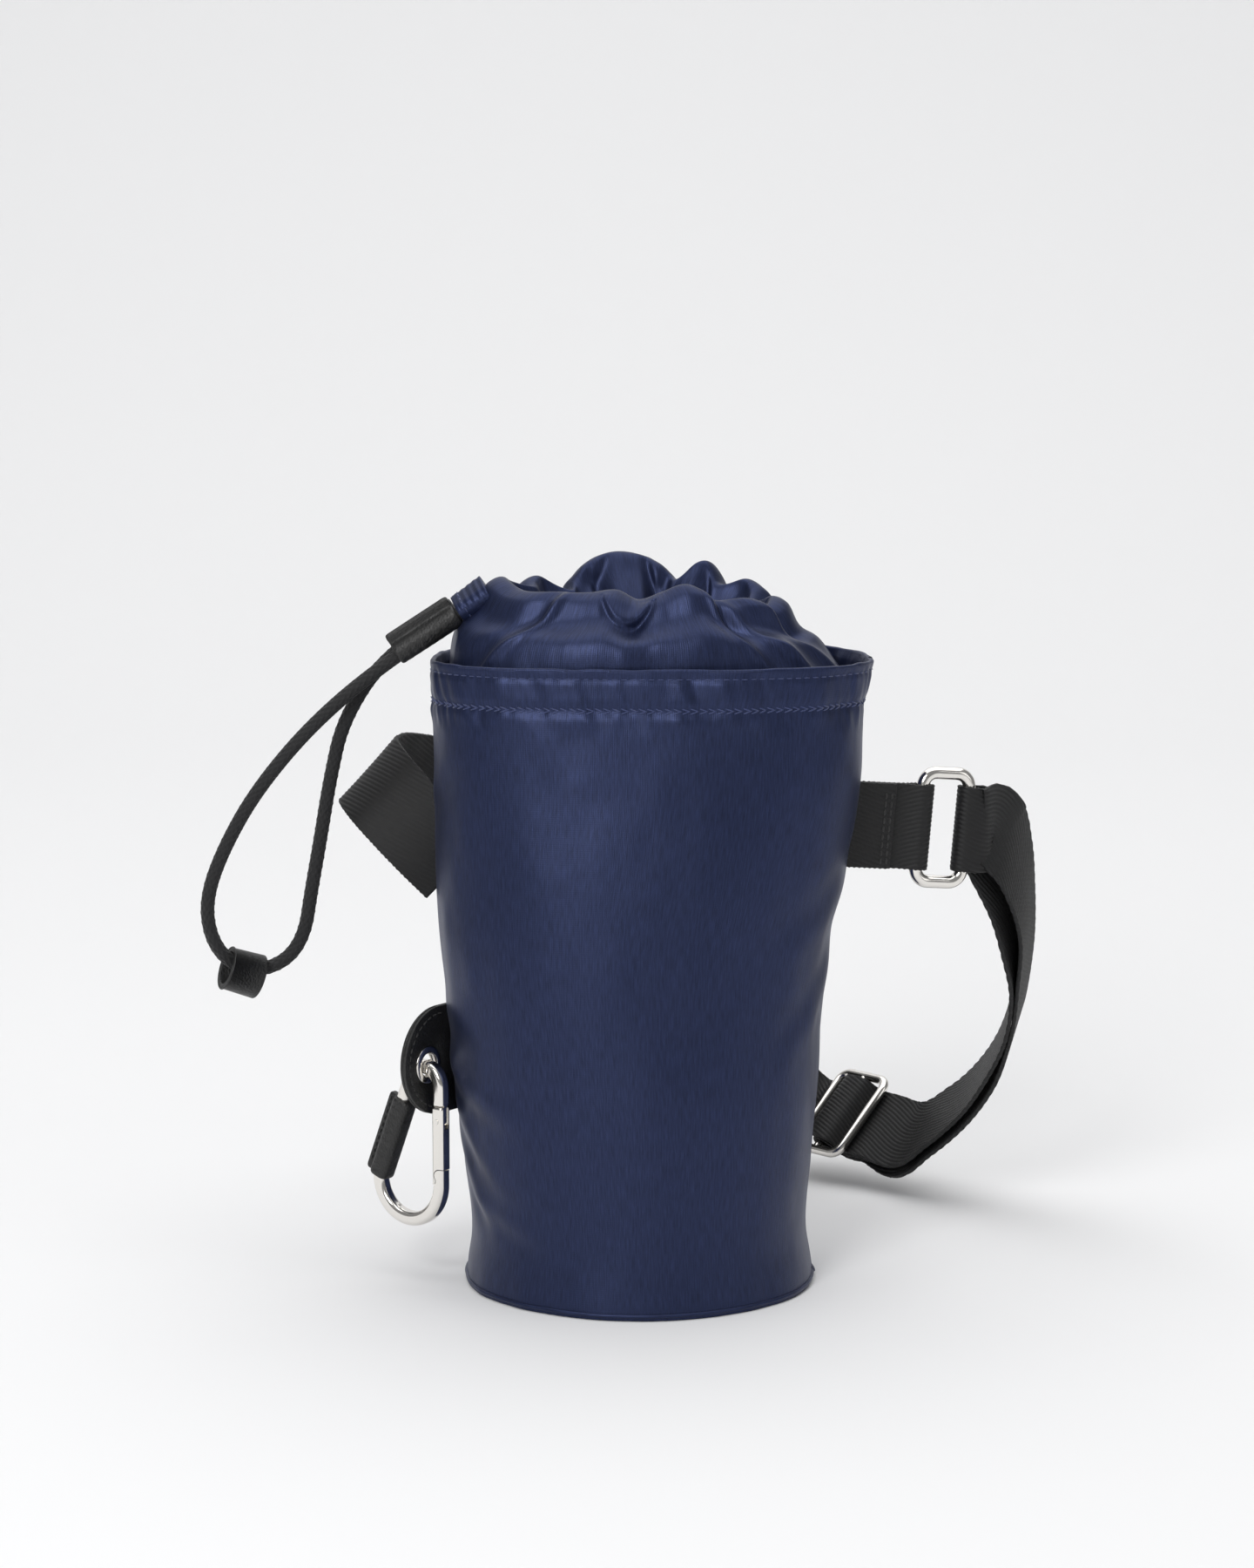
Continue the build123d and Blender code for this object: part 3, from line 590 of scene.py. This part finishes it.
class Frame:
    """A local plane: x across, y up and z out of it."""

    def __init__(self, origin, x, y):
        self.o, self.y = np.array(origin, float), unit(y)
        self.x = unit(np.array(x, float) - self.y * self.y.dot(x))
        self.z = np.cross(self.x, self.y)

    def point(self, x, y=0.0, z=0.0):
        x, y, z = (np.asarray(q, float)[..., None] for q in (x, y, z))
        return self.o + self.x * x + self.y * y + self.z * z

    def stations(self, pairs, w=None):
        return [(tuple(self.point(x, 0, z)), tuple(self.y if w is None else w)) for x, z in pairs]


def arc(x, z, radius, start, end, count=13):
    a = np.radians(np.linspace(start, end, count))
    return list(zip(x + radius * np.cos(a), z + radius * np.sin(a)))


def link_path(frame, across, up, corner):
    """The centre line of a closed wire link."""
    points = []
    for k, (sx, sy) in enumerate(((1, 1), (-1, 1), (-1, -1), (1, -1))):
        a = np.radians(np.linspace(90 * k, 90 * k + 90, 12))
        x = sx * (across / 2 - corner) + corner * np.cos(a) + across / 2
        y = sy * (up / 2 - corner) + corner * np.sin(a)
        points.append(frame.point(x, y))
    return np.concatenate(points)


def dense_loop(points, step=0.7):
    closed = np.concatenate([points, points[:1]])
    run = np.concatenate([[0], np.cumsum(np.linalg.norm(np.diff(closed, axis=0), axis=1))])
    even = np.linspace(0, run[-1], int(run[-1] / step), endpoint=False)
    return np.stack([np.interp(even, run, closed[:, i]) for i in range(3)], -1)


RING = Frame((102.6, 11.2, 166.2), (0.9511, 0.2964, -0.0868), (0.0847, 0.0199, 0.9962))
RING_ACROSS, RING_UP, RING_R = 18.2, 40.4, 2.4
SLIDER = Frame((90.7, 146, 26.3), (-0.6331, 0.7739, -0.0135), (-0.5609, -0.4707, -0.6811))
SLIDER_ACROSS, SLIDER_UP, SLIDER_R, BAR_R = 26.0, 38.4, 1.9, 1.7

ring = tube("strap_ring_wire", dense_loop(link_path(RING, RING_ACROSS, RING_UP, 5)), RING_R, NICKEL,
            sides=40, closed=True, body="strap_ring", slot="polished_nickel")
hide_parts("strap_ring")
slider = tube("slider_frame_wire", dense_loop(link_path(SLIDER, SLIDER_ACROSS, SLIDER_UP, 4.5)), SLIDER_R,
              NICKEL, sides=40, closed=True, body="strap_slider", slot="polished_nickel")
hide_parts("strap_slider")
bar_line = SLIDER.point(np.full(40, SLIDER_ACROSS / 2), np.linspace(-SLIDER_UP / 2, SLIDER_UP / 2, 40))
tube("slider_centre_bar", bar_line, BAR_R, NICKEL, sides=32, body="strap_slider", slot="polished_nickel")

# The strap's stations, as the webbing's centre and the direction across it:
# out of the left seam and behind the bag, up to the ring, and back down to the slider
HIDDEN = [
    ((-67.0, 0.4, 152.6), (0.70, 0.05, 0.70)), ((-76.0, 0.5, 161.5), (0.70, 0.06, 0.70)),
    ((-86.5, 3.5, 172.0), (0.69, 0.08, 0.72)), ((-95.5, 10.0, 181.0), (0.68, 0.10, 0.72)),
    ((-100.0, 20.5, 185.5), (0.67, 0.10, 0.73)), ((-98.0, 33.5, 184.5), (0.62, 0.08, 0.77)),
    ((-88.0, 50.0, 181.0), (0.46, 0.10, 0.88)), ((-67.0, 76.0, 171.5), (0.38, 0.14, 0.91)),
    ((-37.0, 105.0, 142.0), (0.42, 0.22, 0.88)), ((-5.0, 131.0, 112.0), (0.48, 0.32, 0.82)),
    ((24.0, 151.0, 79.0), (0.54, 0.40, 0.74)), ((46.0, 167.0, 49.5), (0.56, 0.46, 0.69)),
    ((61.0, 178.0, 31.5), (0.56, 0.47, 0.68)),
]
INNER = [
    ((107.2, 131.4, 22.7), (0.48, 0.48, 0.73)), ((119.0, 118.8, 32.8), (0.38, 0.68, 0.62)),
    ((129.6, 104.0, 46.6), (0.22, 0.90, 0.38)), ((137.2, 88.0, 63.0), (0.12, 0.99, 0.10)),
    ((142.4, 72.6, 82.5), (0.10, 0.99, 0.04)), ((143.6, 58.5, 103.0), (0.20, 0.96, 0.20)),
    ((140.6, 46.6, 122.0), (0.30, 0.82, 0.48)), ((136.8, 38.2, 137.6), (0.32, 0.66, 0.68)),
    ((131.8, 30.6, 151.0), (0.28, 0.42, 0.86)), ((127.6, 26.0, 160.6), (0.16, 0.18, 0.97)),
]
OUTER = [
    ((130.6, 19.2, 165.2), (0.14, 0.12, 0.98)), ((136.4, 24.2, 158.6), (0.26, 0.36, 0.90)),
    ((141.6, 32.4, 146.8), (0.28, 0.62, 0.73)), ((145.8, 44.2, 129.0), (0.24, 0.84, 0.48)),
    ((146.8, 59.0, 104.0), (0.24, 0.95, 0.16)), ((145.2, 74.2, 80.0), (0.17, 0.98, 0.02)),
    ((140.2, 90.0, 59.5), (0.12, 0.99, 0.10)), ((131.8, 105.4, 42.6), (0.22, 0.90, 0.38)),
    ((120.6, 119.8, 28.8), (0.38, 0.68, 0.62)), ((108.0, 133.0, 18.2), (0.48, 0.48, 0.73)),
]
LAP = RING_R + 1.1
BEHIND, ABOVE = -SLIDER_R - 1.1, BAR_R + 3.0
HALF = [(-8.0, BEHIND - 0.2), (-1.0, BEHIND), (1.2, BEHIND), (8.2, ABOVE - 0.75), (10.5, ABOVE - 0.15),
        (SLIDER_ACROSS / 2, ABOVE)]
THROUGH = [(SLIDER_ACROSS - x, z) for x, z in HALF] + HALF[-2::-1]
ROUND_RING = [(RING_ACROSS + 6, -LAP - 0.2),
              *arc(RING_ACROSS, 0, LAP, -90, -270, 9), (RING_ACROSS + 6, LAP + 0.2)]
TAIL = BEHIND - 1.9
END = TAIL - 2.3
END_WRAP = [(-8.0, END - 0.1), (0.5, END), *arc(SLIDER_ACROSS / 2, 0, BAR_R + 1.05, -110, 110, 9),
            (1.5, TAIL), (-8.0, TAIL - 0.05), (-12.0, TAIL - 1.15)]
ACROSS_SLIDER = -SLIDER.y
strap = Ribbon([*HIDDEN, *SLIDER.stations(THROUGH, ACROSS_SLIDER), *INNER, *RING.stations(ROUND_RING),
                *OUTER, *SLIDER.stations(END_WRAP, ACROSS_SLIDER)])
first_cross = len(HIDDEN)
inner_start = first_cross + len(THROUGH)
ring_start = inner_start + len(INNER)
outer_start = ring_start + len(ROUND_RING)
last = outer_start + len(OUTER) + len(END_WRAP) - 1
LOW, HIGH = np.array((104, 135.5, 23)) * MM, np.array((142, 80, 75)) * MM
for name, start, stop, ends, a, b in (
        ("strap_behind_bag", 0, first_cross, ((0.024, 0.151, 0.079), (0.058, 0.176, 0.034)),
         "bag", "strap_slider"),
        ("strap_at_slider", first_cross, inner_start + 4, (LOW, HIGH), "strap_slider", "bag"),
        ("strap_at_ring", inner_start + 4, outer_start + 5, ((0.146, 0.068, 0.090), (0.130, 0.020, 0.166)),
         "bag", "strap_ring"),
        ("strap_end_at_slider", outer_start + 5, last, (LOW, HIGH), "strap_slider", "bag")):
    obj = strap.piece(name, start, stop, body=None)
    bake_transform(obj)
    if start == 0:
        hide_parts("strap_webbing")

tab_loop = Ribbon(RING.stations([(-34, -0.85), (-7.0, -0.85), *arc(0, 0, LAP, -130, 130, 13), (-7.0, 0.85),
                                 (-16.0, 0.85), (-21.0, 0.85)]), 0.5)
loop = tab_loop.piece("ring_tab_loop", 0, len(tab_loop.keys) - 1)
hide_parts("ring_tab")
tab_cover = Ribbon(RING.stations([(-34, 2.35), (-26, 2.5), (-18, 2.6), (-11.5, 2.7)]), 0.5)
tab_cover.piece("ring_tab_cover", 0, 3)
for k, x in enumerate((-13.2, -15.4)):
    line = RING.point(np.full(60, x), np.linspace(-14.5, 14.5, 60), np.full(60, 3.45))
    stitches(f"ring_tab_stitch_{k}", line, np.broadcast_to(RING.z, line.shape), BLACK_THREAD,
             pitch=3.0, length=2.2, radius=0.3, slot="black_webbing")
for k, x in enumerate((-3.0, -5.5)):
    line = SLIDER.point(np.full(60, x), np.linspace(-14.5, 14.5, 60), np.full(60, END - 0.9))
    stitches(f"strap_end_stitch_{k}", line, np.broadcast_to(-SLIDER.z, line.shape), BLACK_THREAD,
             pitch=3.0, length=2.2, radius=0.3, body="strap_slider", slot="black_webbing")


# ------------------------------------------------------------ leather tab, eyelet and carabiner
TAB = Frame((-69.2, 0, 82.8), (-0.6, -0.8, 0), (0, 0, 1))
FACE = np.array((0.8, -0.6, 0.0))
TAB_R, TAB_REACH = 20.0, 28.0
EYELET_OUT, EYELET_UP = 15.0, -0.8  # the eyelet's place in the tab's own plane
EYE = TAB.o + TAB.x * EYELET_OUT + np.array((0, 0, EYELET_UP))


def tab_outline(inset, count=160):
    """The D outline of the tab as distances from the eyelet at even angles."""
    a = np.linspace(-pi, pi, count, endpoint=False)
    c, s = np.cos(a), np.sin(a)
    straight, reach = TAB_REACH - TAB_R, TAB_R - inset
    grid_r = np.linspace(0, 45, 1800)[:, None]
    x, y = EYELET_OUT + grid_r * c, EYELET_UP + grid_r * s
    inside = np.where(x > straight, np.hypot(x - straight, y) < reach, (np.abs(y) < reach) & (x > -3.0))
    return a, (inside.sum(0) - 1) * 45 / 1799


def tab_half(name, low, high, node):
    a, wide = tab_outline(0.0)
    rings = []
    for share, depth in ((0, low), (0.5, low), (0.97, low), (0.995, low + 0.12), (1, low + 0.3),
                         (1, high - 0.3), (0.995, high - 0.12), (0.97, high), (0.5, high), (0, high)):
        r = 4.3 + (wide - 4.3) * share
        swell = 0.1 * noise(a * 3, a * 0 + share * 3, 61)
        rings.append(EYE + TAB.x * (r * np.cos(a))[:, None] + TAB.y * (r * np.sin(a))[:, None]
                     + FACE * (depth + swell * (0 < share < 0.98))[:, None])
    obj = grid(name, np.array(rings), LEATHER, wrap_n=True, wrap_m=True, slot="black_leather")
    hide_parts(node)


tab_half("tab_front_side", 0.02, 1.27, "tab_front_leather")
tab_half("tab_back_side", -1.27, -0.02, "tab_back_leather")
a, wide = tab_outline(2.6)
keep = np.cos(a) * wide > -11.5
edge = [EYE + TAB.x * (w * np.cos(q)) + TAB.y * (w * np.sin(q)) for q, w in zip(a[keep], wide[keep])]
for tag, sign in (("front", 1), ("back", -1)):
    line = np.array(edge) + FACE * 1.27 * sign
    stitches(f"tab_stitch_{tag}", line, np.broadcast_to(FACE * sign, line.shape), BLACK_THREAD,
             pitch=3.0, length=2.2, radius=0.27, slot="black_leather")

flange = [(4.25, 0.0), (4.25, 1.35), (4.6, 1.75), (5.2, 1.98), (6.0, 1.9),
          (6.7, 1.6), (7.0, 1.32), (6.4, 1.28), (4.8, 1.28), (4.6, 0.0)]
eyelet = revolve("eyelet_front", flange, NICKEL, EYE, FACE, slot="polished_nickel")
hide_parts("tab_eyelet")
washer = revolve("eyelet_back", flange, NICKEL, EYE, -FACE, slot="polished_nickel")
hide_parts("eyelet_washer")

HOOK = Frame((-78.2, -12, 0), (0.8, -0.6, 0), (0, 0, 1))
for name in ("carabiner_hook", "carabiner_gate", "gate_pin", "gate_plunger", "gate_spring"):
    data = frame["nodes"][name].data
    data.materials.clear()
    data.materials.append(NICKEL)
    data.polygons.foreach_set("use_smooth", [True] * len(data.polygons))
    data.set_sharp_from_angle(angle=radians(32))

top, foot = np.array((-7.0, 74.3)), np.array((-21.6, 37.9))
gap = foot - top


def leather_wrap(name, origin, run, side, out, length, cross, node, body, flare=0.02):
    """A leather sleeve with a pinched seam: a closed outline carried along a short straight run."""
    steps = np.concatenate([[0, 0.15, 0.5], np.linspace(1.2, length - 1.2, 40),
                            [length - 0.5, length - 0.15, length]])
    shrink = 1 - 0.10 * np.exp(-np.minimum(steps, length - steps) / 0.35)
    rows = []
    for s, k in zip(steps, shrink):
        bulge = 1 + flare * np.sin(s / length * pi) + 0.012 * np.sin(s * 1.9)
        rows.append([origin + run * (s - length / 2) + side * x * k * bulge + out * y * k for x, y in cross])
    if np.cross(side, out).dot(run) < 0:
        rows = [row[::-1] for row in rows]
    obj = grid(name, np.array(rows), LEATHER, wrap_m=True, caps=True, body=body, slot="black_leather")
    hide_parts(node)
    return obj


def pinched(half_side, half_out, corner, fin, fin_half):
    """Outline of a wrap: a rounded box with a flat seam standing out on its +y side."""
    points = []
    for sx, sy, start in ((1, 1, 0), (-1, 1, 90), (-1, -1, 180), (1, -1, 270)):
        for a in np.radians(np.linspace(start, start + 90, 9)):
            points.append((sx * (half_side - corner) + corner * np.cos(a),
                           sy * (half_out - corner) + corner * np.sin(a)))
    points = np.array(points)
    cut = 9
    neck = [(fin_half + 0.5, half_out + 0.1), (fin_half, half_out + 0.7), (fin_half, half_out + fin - 0.4),
            (fin_half - 0.35, half_out + fin), (0.12, half_out + fin), (0.0, half_out + fin - 0.5),
            (-0.12, half_out + fin), (-fin_half + 0.35, half_out + fin), (-fin_half, half_out + fin - 0.4),
            (-fin_half, half_out + 0.7), (-fin_half - 0.5, half_out + 0.1)]
    return [*points[:cut], *neck, *points[cut:]]


spine_dir = unit(HOOK.x * gap[0] + HOOK.y * gap[1])
spine_out = unit(np.cross(spine_dir, HOOK.z))
if spine_out.dot(HOOK.x) > 0:
    spine_out = -spine_out
middle = HOOK.point(*(top + foot) / 2) + spine_dir * 3.4
leather_wrap("carabiner_leather", middle, spine_dir, HOOK.z, spine_out, 32.0,
             pinched(3.95, 3.95, 2.6, 2.9, 1.25), "carabiner_sleeve", "carabiner")
for sign in (1, -1):
    line = np.array([middle + spine_dir * q + spine_out * 5.6 + HOOK.z * 1.25 * sign
                     for q in np.linspace(-15, 15, 80)])
    stitches(f"carabiner_leather_stitch_{sign + 1}", line, np.broadcast_to(HOOK.z * sign, line.shape),
             BLACK_THREAD,
             pitch=2.8, length=2.0, radius=0.24, body="carabiner", slot="black_leather")


# ------------------------------------------------------------ elastic cord, cord lock and bead
def spline(corners, count=90):
    """The smooth line that touches the middle of every run between corners."""
    p = np.asarray(corners, float)
    middles = [p[0], *((p[1:-2] + p[2:-1]) / 2), p[-1]]
    t = np.linspace(0, 1, count)[:-1, None]
    arcs = [(1 - t) ** 2 * a + 2 * t * (1 - t) * b + t * t * c
            for a, b, c in zip(middles, p[1:-1], middles[1:])]
    return np.concatenate([*arcs, p[-1:]])


# Corners of the free cord: out of the casing, down round the bead, and back up
CORD_ROUTE = [
    (-64.9, -2.3, 246.4), (-89.8, -2.3, 230.1), (-117.3, -4.8, 207.8), (-139.0, -5.2, 182.5),
    (-151.8, -5.2, 160.0), (-158.2, -5.2, 142.0), (-156.8, -5.0, 127.8), (-150.3, -3.6, 118.2),
    (-139.5, 0.5, 114.2), (-129.0, 3.8, 118.2), (-123.0, 5.0, 127.8), (-120.8, 5.2, 142.0),
    (-117.0, 5.0, 162.5), (-113.4, 4.6, 184.0), (-108.0, 3.8, 207.5), (-91.1, 2.3, 232.2),
    (-66.2, 2.3, 248.4),
]
CORD_R = 2.5


def braided(name, corners, radius, **more):
    """A round braid: two families of strands crossing on a tube."""
    path = through(spline(corners)[::6], 0.3)[0]
    run = (np.arange(len(path)) * 0.3)[:, None]
    phi = (np.arange(64) * TAU / 64)[None, :]
    one, two = np.cos(8 * phi + TAU * run / 3.4), np.cos(8 * phi - TAU * run / 3.4)
    relief = 0.13 * np.maximum(one, two) + 0.05 * np.minimum(one, two)
    return tube(name, path, radius - 0.07 + relief, ELASTIC, sides=64, slot="elastic_cord", **more), path


cord, cord_line = braided("drawcord", CORD_ROUTE, CORD_R)
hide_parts("drawcord_loop")

angles = np.radians([row[0] for row in LOBES])
around = np.linspace(0, TAU, 120, endpoint=False)
reach, top = (curve(angles, [row[k] for row in LOBES], around, TAU) for k in (1, 2))
blur = np.ones(13) / 13
reach, top = (np.convolve(np.concatenate([q[-6:], q, q[:6]]), blur, "valid") for q in (reach, top))
hidden_line = np.stack([CENTRE[0] + (reach - 1.5) * np.cos(around),
                        CENTRE[1] + (reach - 1.5) * np.sin(around),
                        top - 12.0], -1)
hidden = tube("drawcord_in_casing_braid", hidden_line, 1.9, ELASTIC, sides=24,
              closed=True, slot="elastic_cord")
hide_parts("drawcord_in_casing")

LOCK_CENTRE, LOCK_DIR = np.array((-77.7, 0.0, 239.5)), unit((0.837, 0, 0.547))
LOCK_SIDE = unit((-0.656, 2.3, 1.004))
LOCK_UP = unit(np.cross(LOCK_DIR, LOCK_SIDE))
lock = leather_wrap("cord_lock_leather", LOCK_CENTRE, LOCK_DIR, LOCK_SIDE, LOCK_UP, 26.4,
                    pinched(6.6, 4.1, 3.6, 3.2, 1.2), "cord_lock_sleeve", "cord_lock")
for sign in (1, -1):
    line = np.array([LOCK_CENTRE + LOCK_DIR * q + LOCK_UP * 5.9 + LOCK_SIDE * 1.2 * sign
                     for q in np.linspace(-12.2, 12.2, 60)])
    stitches(f"cord_lock_stitch_{sign + 1}", line,
                                  np.broadcast_to(LOCK_SIDE * sign, line.shape), BLACK_THREAD, pitch=2.8,
                                  length=2.0, radius=0.22, body="cord_lock", slot="black_leather")

BEAD_CENTRE = np.array((-145.4, -1.6, 114.4))
BEAD_AXIS = unit((0.883437, 0.335379, -0.327199))
BEAD_SPLIT = radians(200)


def wound(a, rz):
    """The bead is one strap of leather whose outer end lies over its inner end."""
    turn = ((a - BEAD_SPLIT) % TAU) / TAU
    out = rz.copy()
    out[..., 0] += np.where(rz[..., 0] > 7.0, 0.95 * turn - 0.45, 0.0)
    return out


corner = [(0.45 - 0.45 * np.cos(q), 0.45 - 0.45 * np.sin(q)) for q in np.linspace(0, pi / 2, 5)]
bead_profile = ([(6.2 + x, -6.5 + y) for x, y in corner] + [(8.25 - y, -6.5 + x) for x, y in corner[::-1]]
                + [(8.25 - x, 6.5 - y) for x, y in corner] + [(6.2 + y, 6.5 - x) for x, y in corner[::-1]])
bead = revolve("pull_bead_leather", bead_profile, LEATHER, BEAD_CENTRE, BEAD_AXIS, count=240, bend=wound,
               body="pull_bead", slot="black_leather")
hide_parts("pull_bead")

casing_cross = pinched(6.5, 4.1, 3.8, 0.0, 1.0)[:9] + pinched(6.5, 4.1, 3.8, 0.0, 1.0)[20:]
rows = []
for s_at in np.linspace(14.0, 27.0, 40):
    swell = 1 + 0.10 * ramp(s_at, 17, 26) + 0.02 * np.sin(s_at * 2.4)
    hem = 0.94 if s_at < 14.4 else 1.0
    rows.append([LOCK_CENTRE + LOCK_DIR * s_at + LOCK_SIDE * x * swell * hem + LOCK_UP * y * swell * hem
                 for x, y in casing_cross])
casing = grid("casing_end_cloth", np.array(rows), NAVY, wrap_m=True, caps=True, slot="navy_nylon")
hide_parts("casing_end")
ring_path = np.array(rows[9] + rows[9][:1])
stitches("casing_end_stitch", ring_path, ring_path - (LOCK_CENTRE + LOCK_DIR * 17.0), THREAD, pitch=2.9,
         length=2.0, radius=0.22, lift=0.05, slot="navy_nylon")


# ------------------------------------------------------------ camera, light and floor
def stage_plane():
    """A pale floor that curves up into the background."""
    y = np.concatenate([np.linspace(-2600, 1500, 30), 1500 + 900 * np.sin(np.linspace(0, pi / 2, 24)[1:]),
                        np.full(6, 2400)])
    z = np.concatenate([np.zeros(30), 900 * (1 - np.cos(np.linspace(0, pi / 2, 24)[1:])),
                        np.linspace(1000, 3000, 6)])
    x = np.linspace(-3500, 3500, 12)
    points = np.stack([x[None, :] + 0 * y[:, None], y[:, None] + 0 * x, z[:, None] + 0 * x], -1)
    paper = Look("backdrop", (0.86, 0.86, 0.865), 0.9, Specular_IOR_Level=0.1)
    paper.bump(paper.noise("Object", (40, 40, 40)), 0.05, 0.1)
    grid("backdrop_sheet", points[:, ::-1], paper.mat, body=None)


def area_light(name, place, aim, size, power, colour=(1, 1, 1)):
    light = bpy.data.lights.new(name, "AREA")
    light.shape, light.size, light.size_y = "RECTANGLE", size[0], size[1]
    light.energy, light.color = power, colour
    obj = bpy.data.objects.new(name, light)
    bpy.context.scene.collection.objects.link(obj)
    obj.location = place
    obj.rotation_euler = (Vector(aim) - Vector(place)).to_track_quat("-Z", "Y").to_euler()


stage_plane()
area_light("key", (-0.75, -1.9, 1.25), (0, 0, 0.12), (0.7, 1.1), 25)
area_light("overhead", (0, 0.7, 2.8), (0, 0.9, 0), (4.0, 4.0), 78)
area_light("fill", (1.9, -1.2, 0.8), (0, 0, 0.12), (0.8, 1.2), 3)

world = bpy.data.worlds.new("studio")
world.use_nodes = True
world.node_tree.nodes["Background"].inputs[0].default_value = (0.9, 0.905, 0.915, 1)
world.node_tree.nodes["Background"].inputs[1].default_value = 0.27
bpy.context.scene.world = world

lens = bpy.data.cameras.new("camera")
lens.lens, lens.sensor_width, lens.clip_start, lens.clip_end = 92, 36, 0.05, 50
camera = bpy.data.objects.new("camera", lens)
bpy.context.scene.collection.objects.link(camera)
camera.location = (-0.0048, -1.444, 0.387)
camera.rotation_euler = (radians(90 - 8.02), 0, 0)
bpy.context.scene.camera = camera
bpy.context.scene.view_settings.view_transform = "Standard"
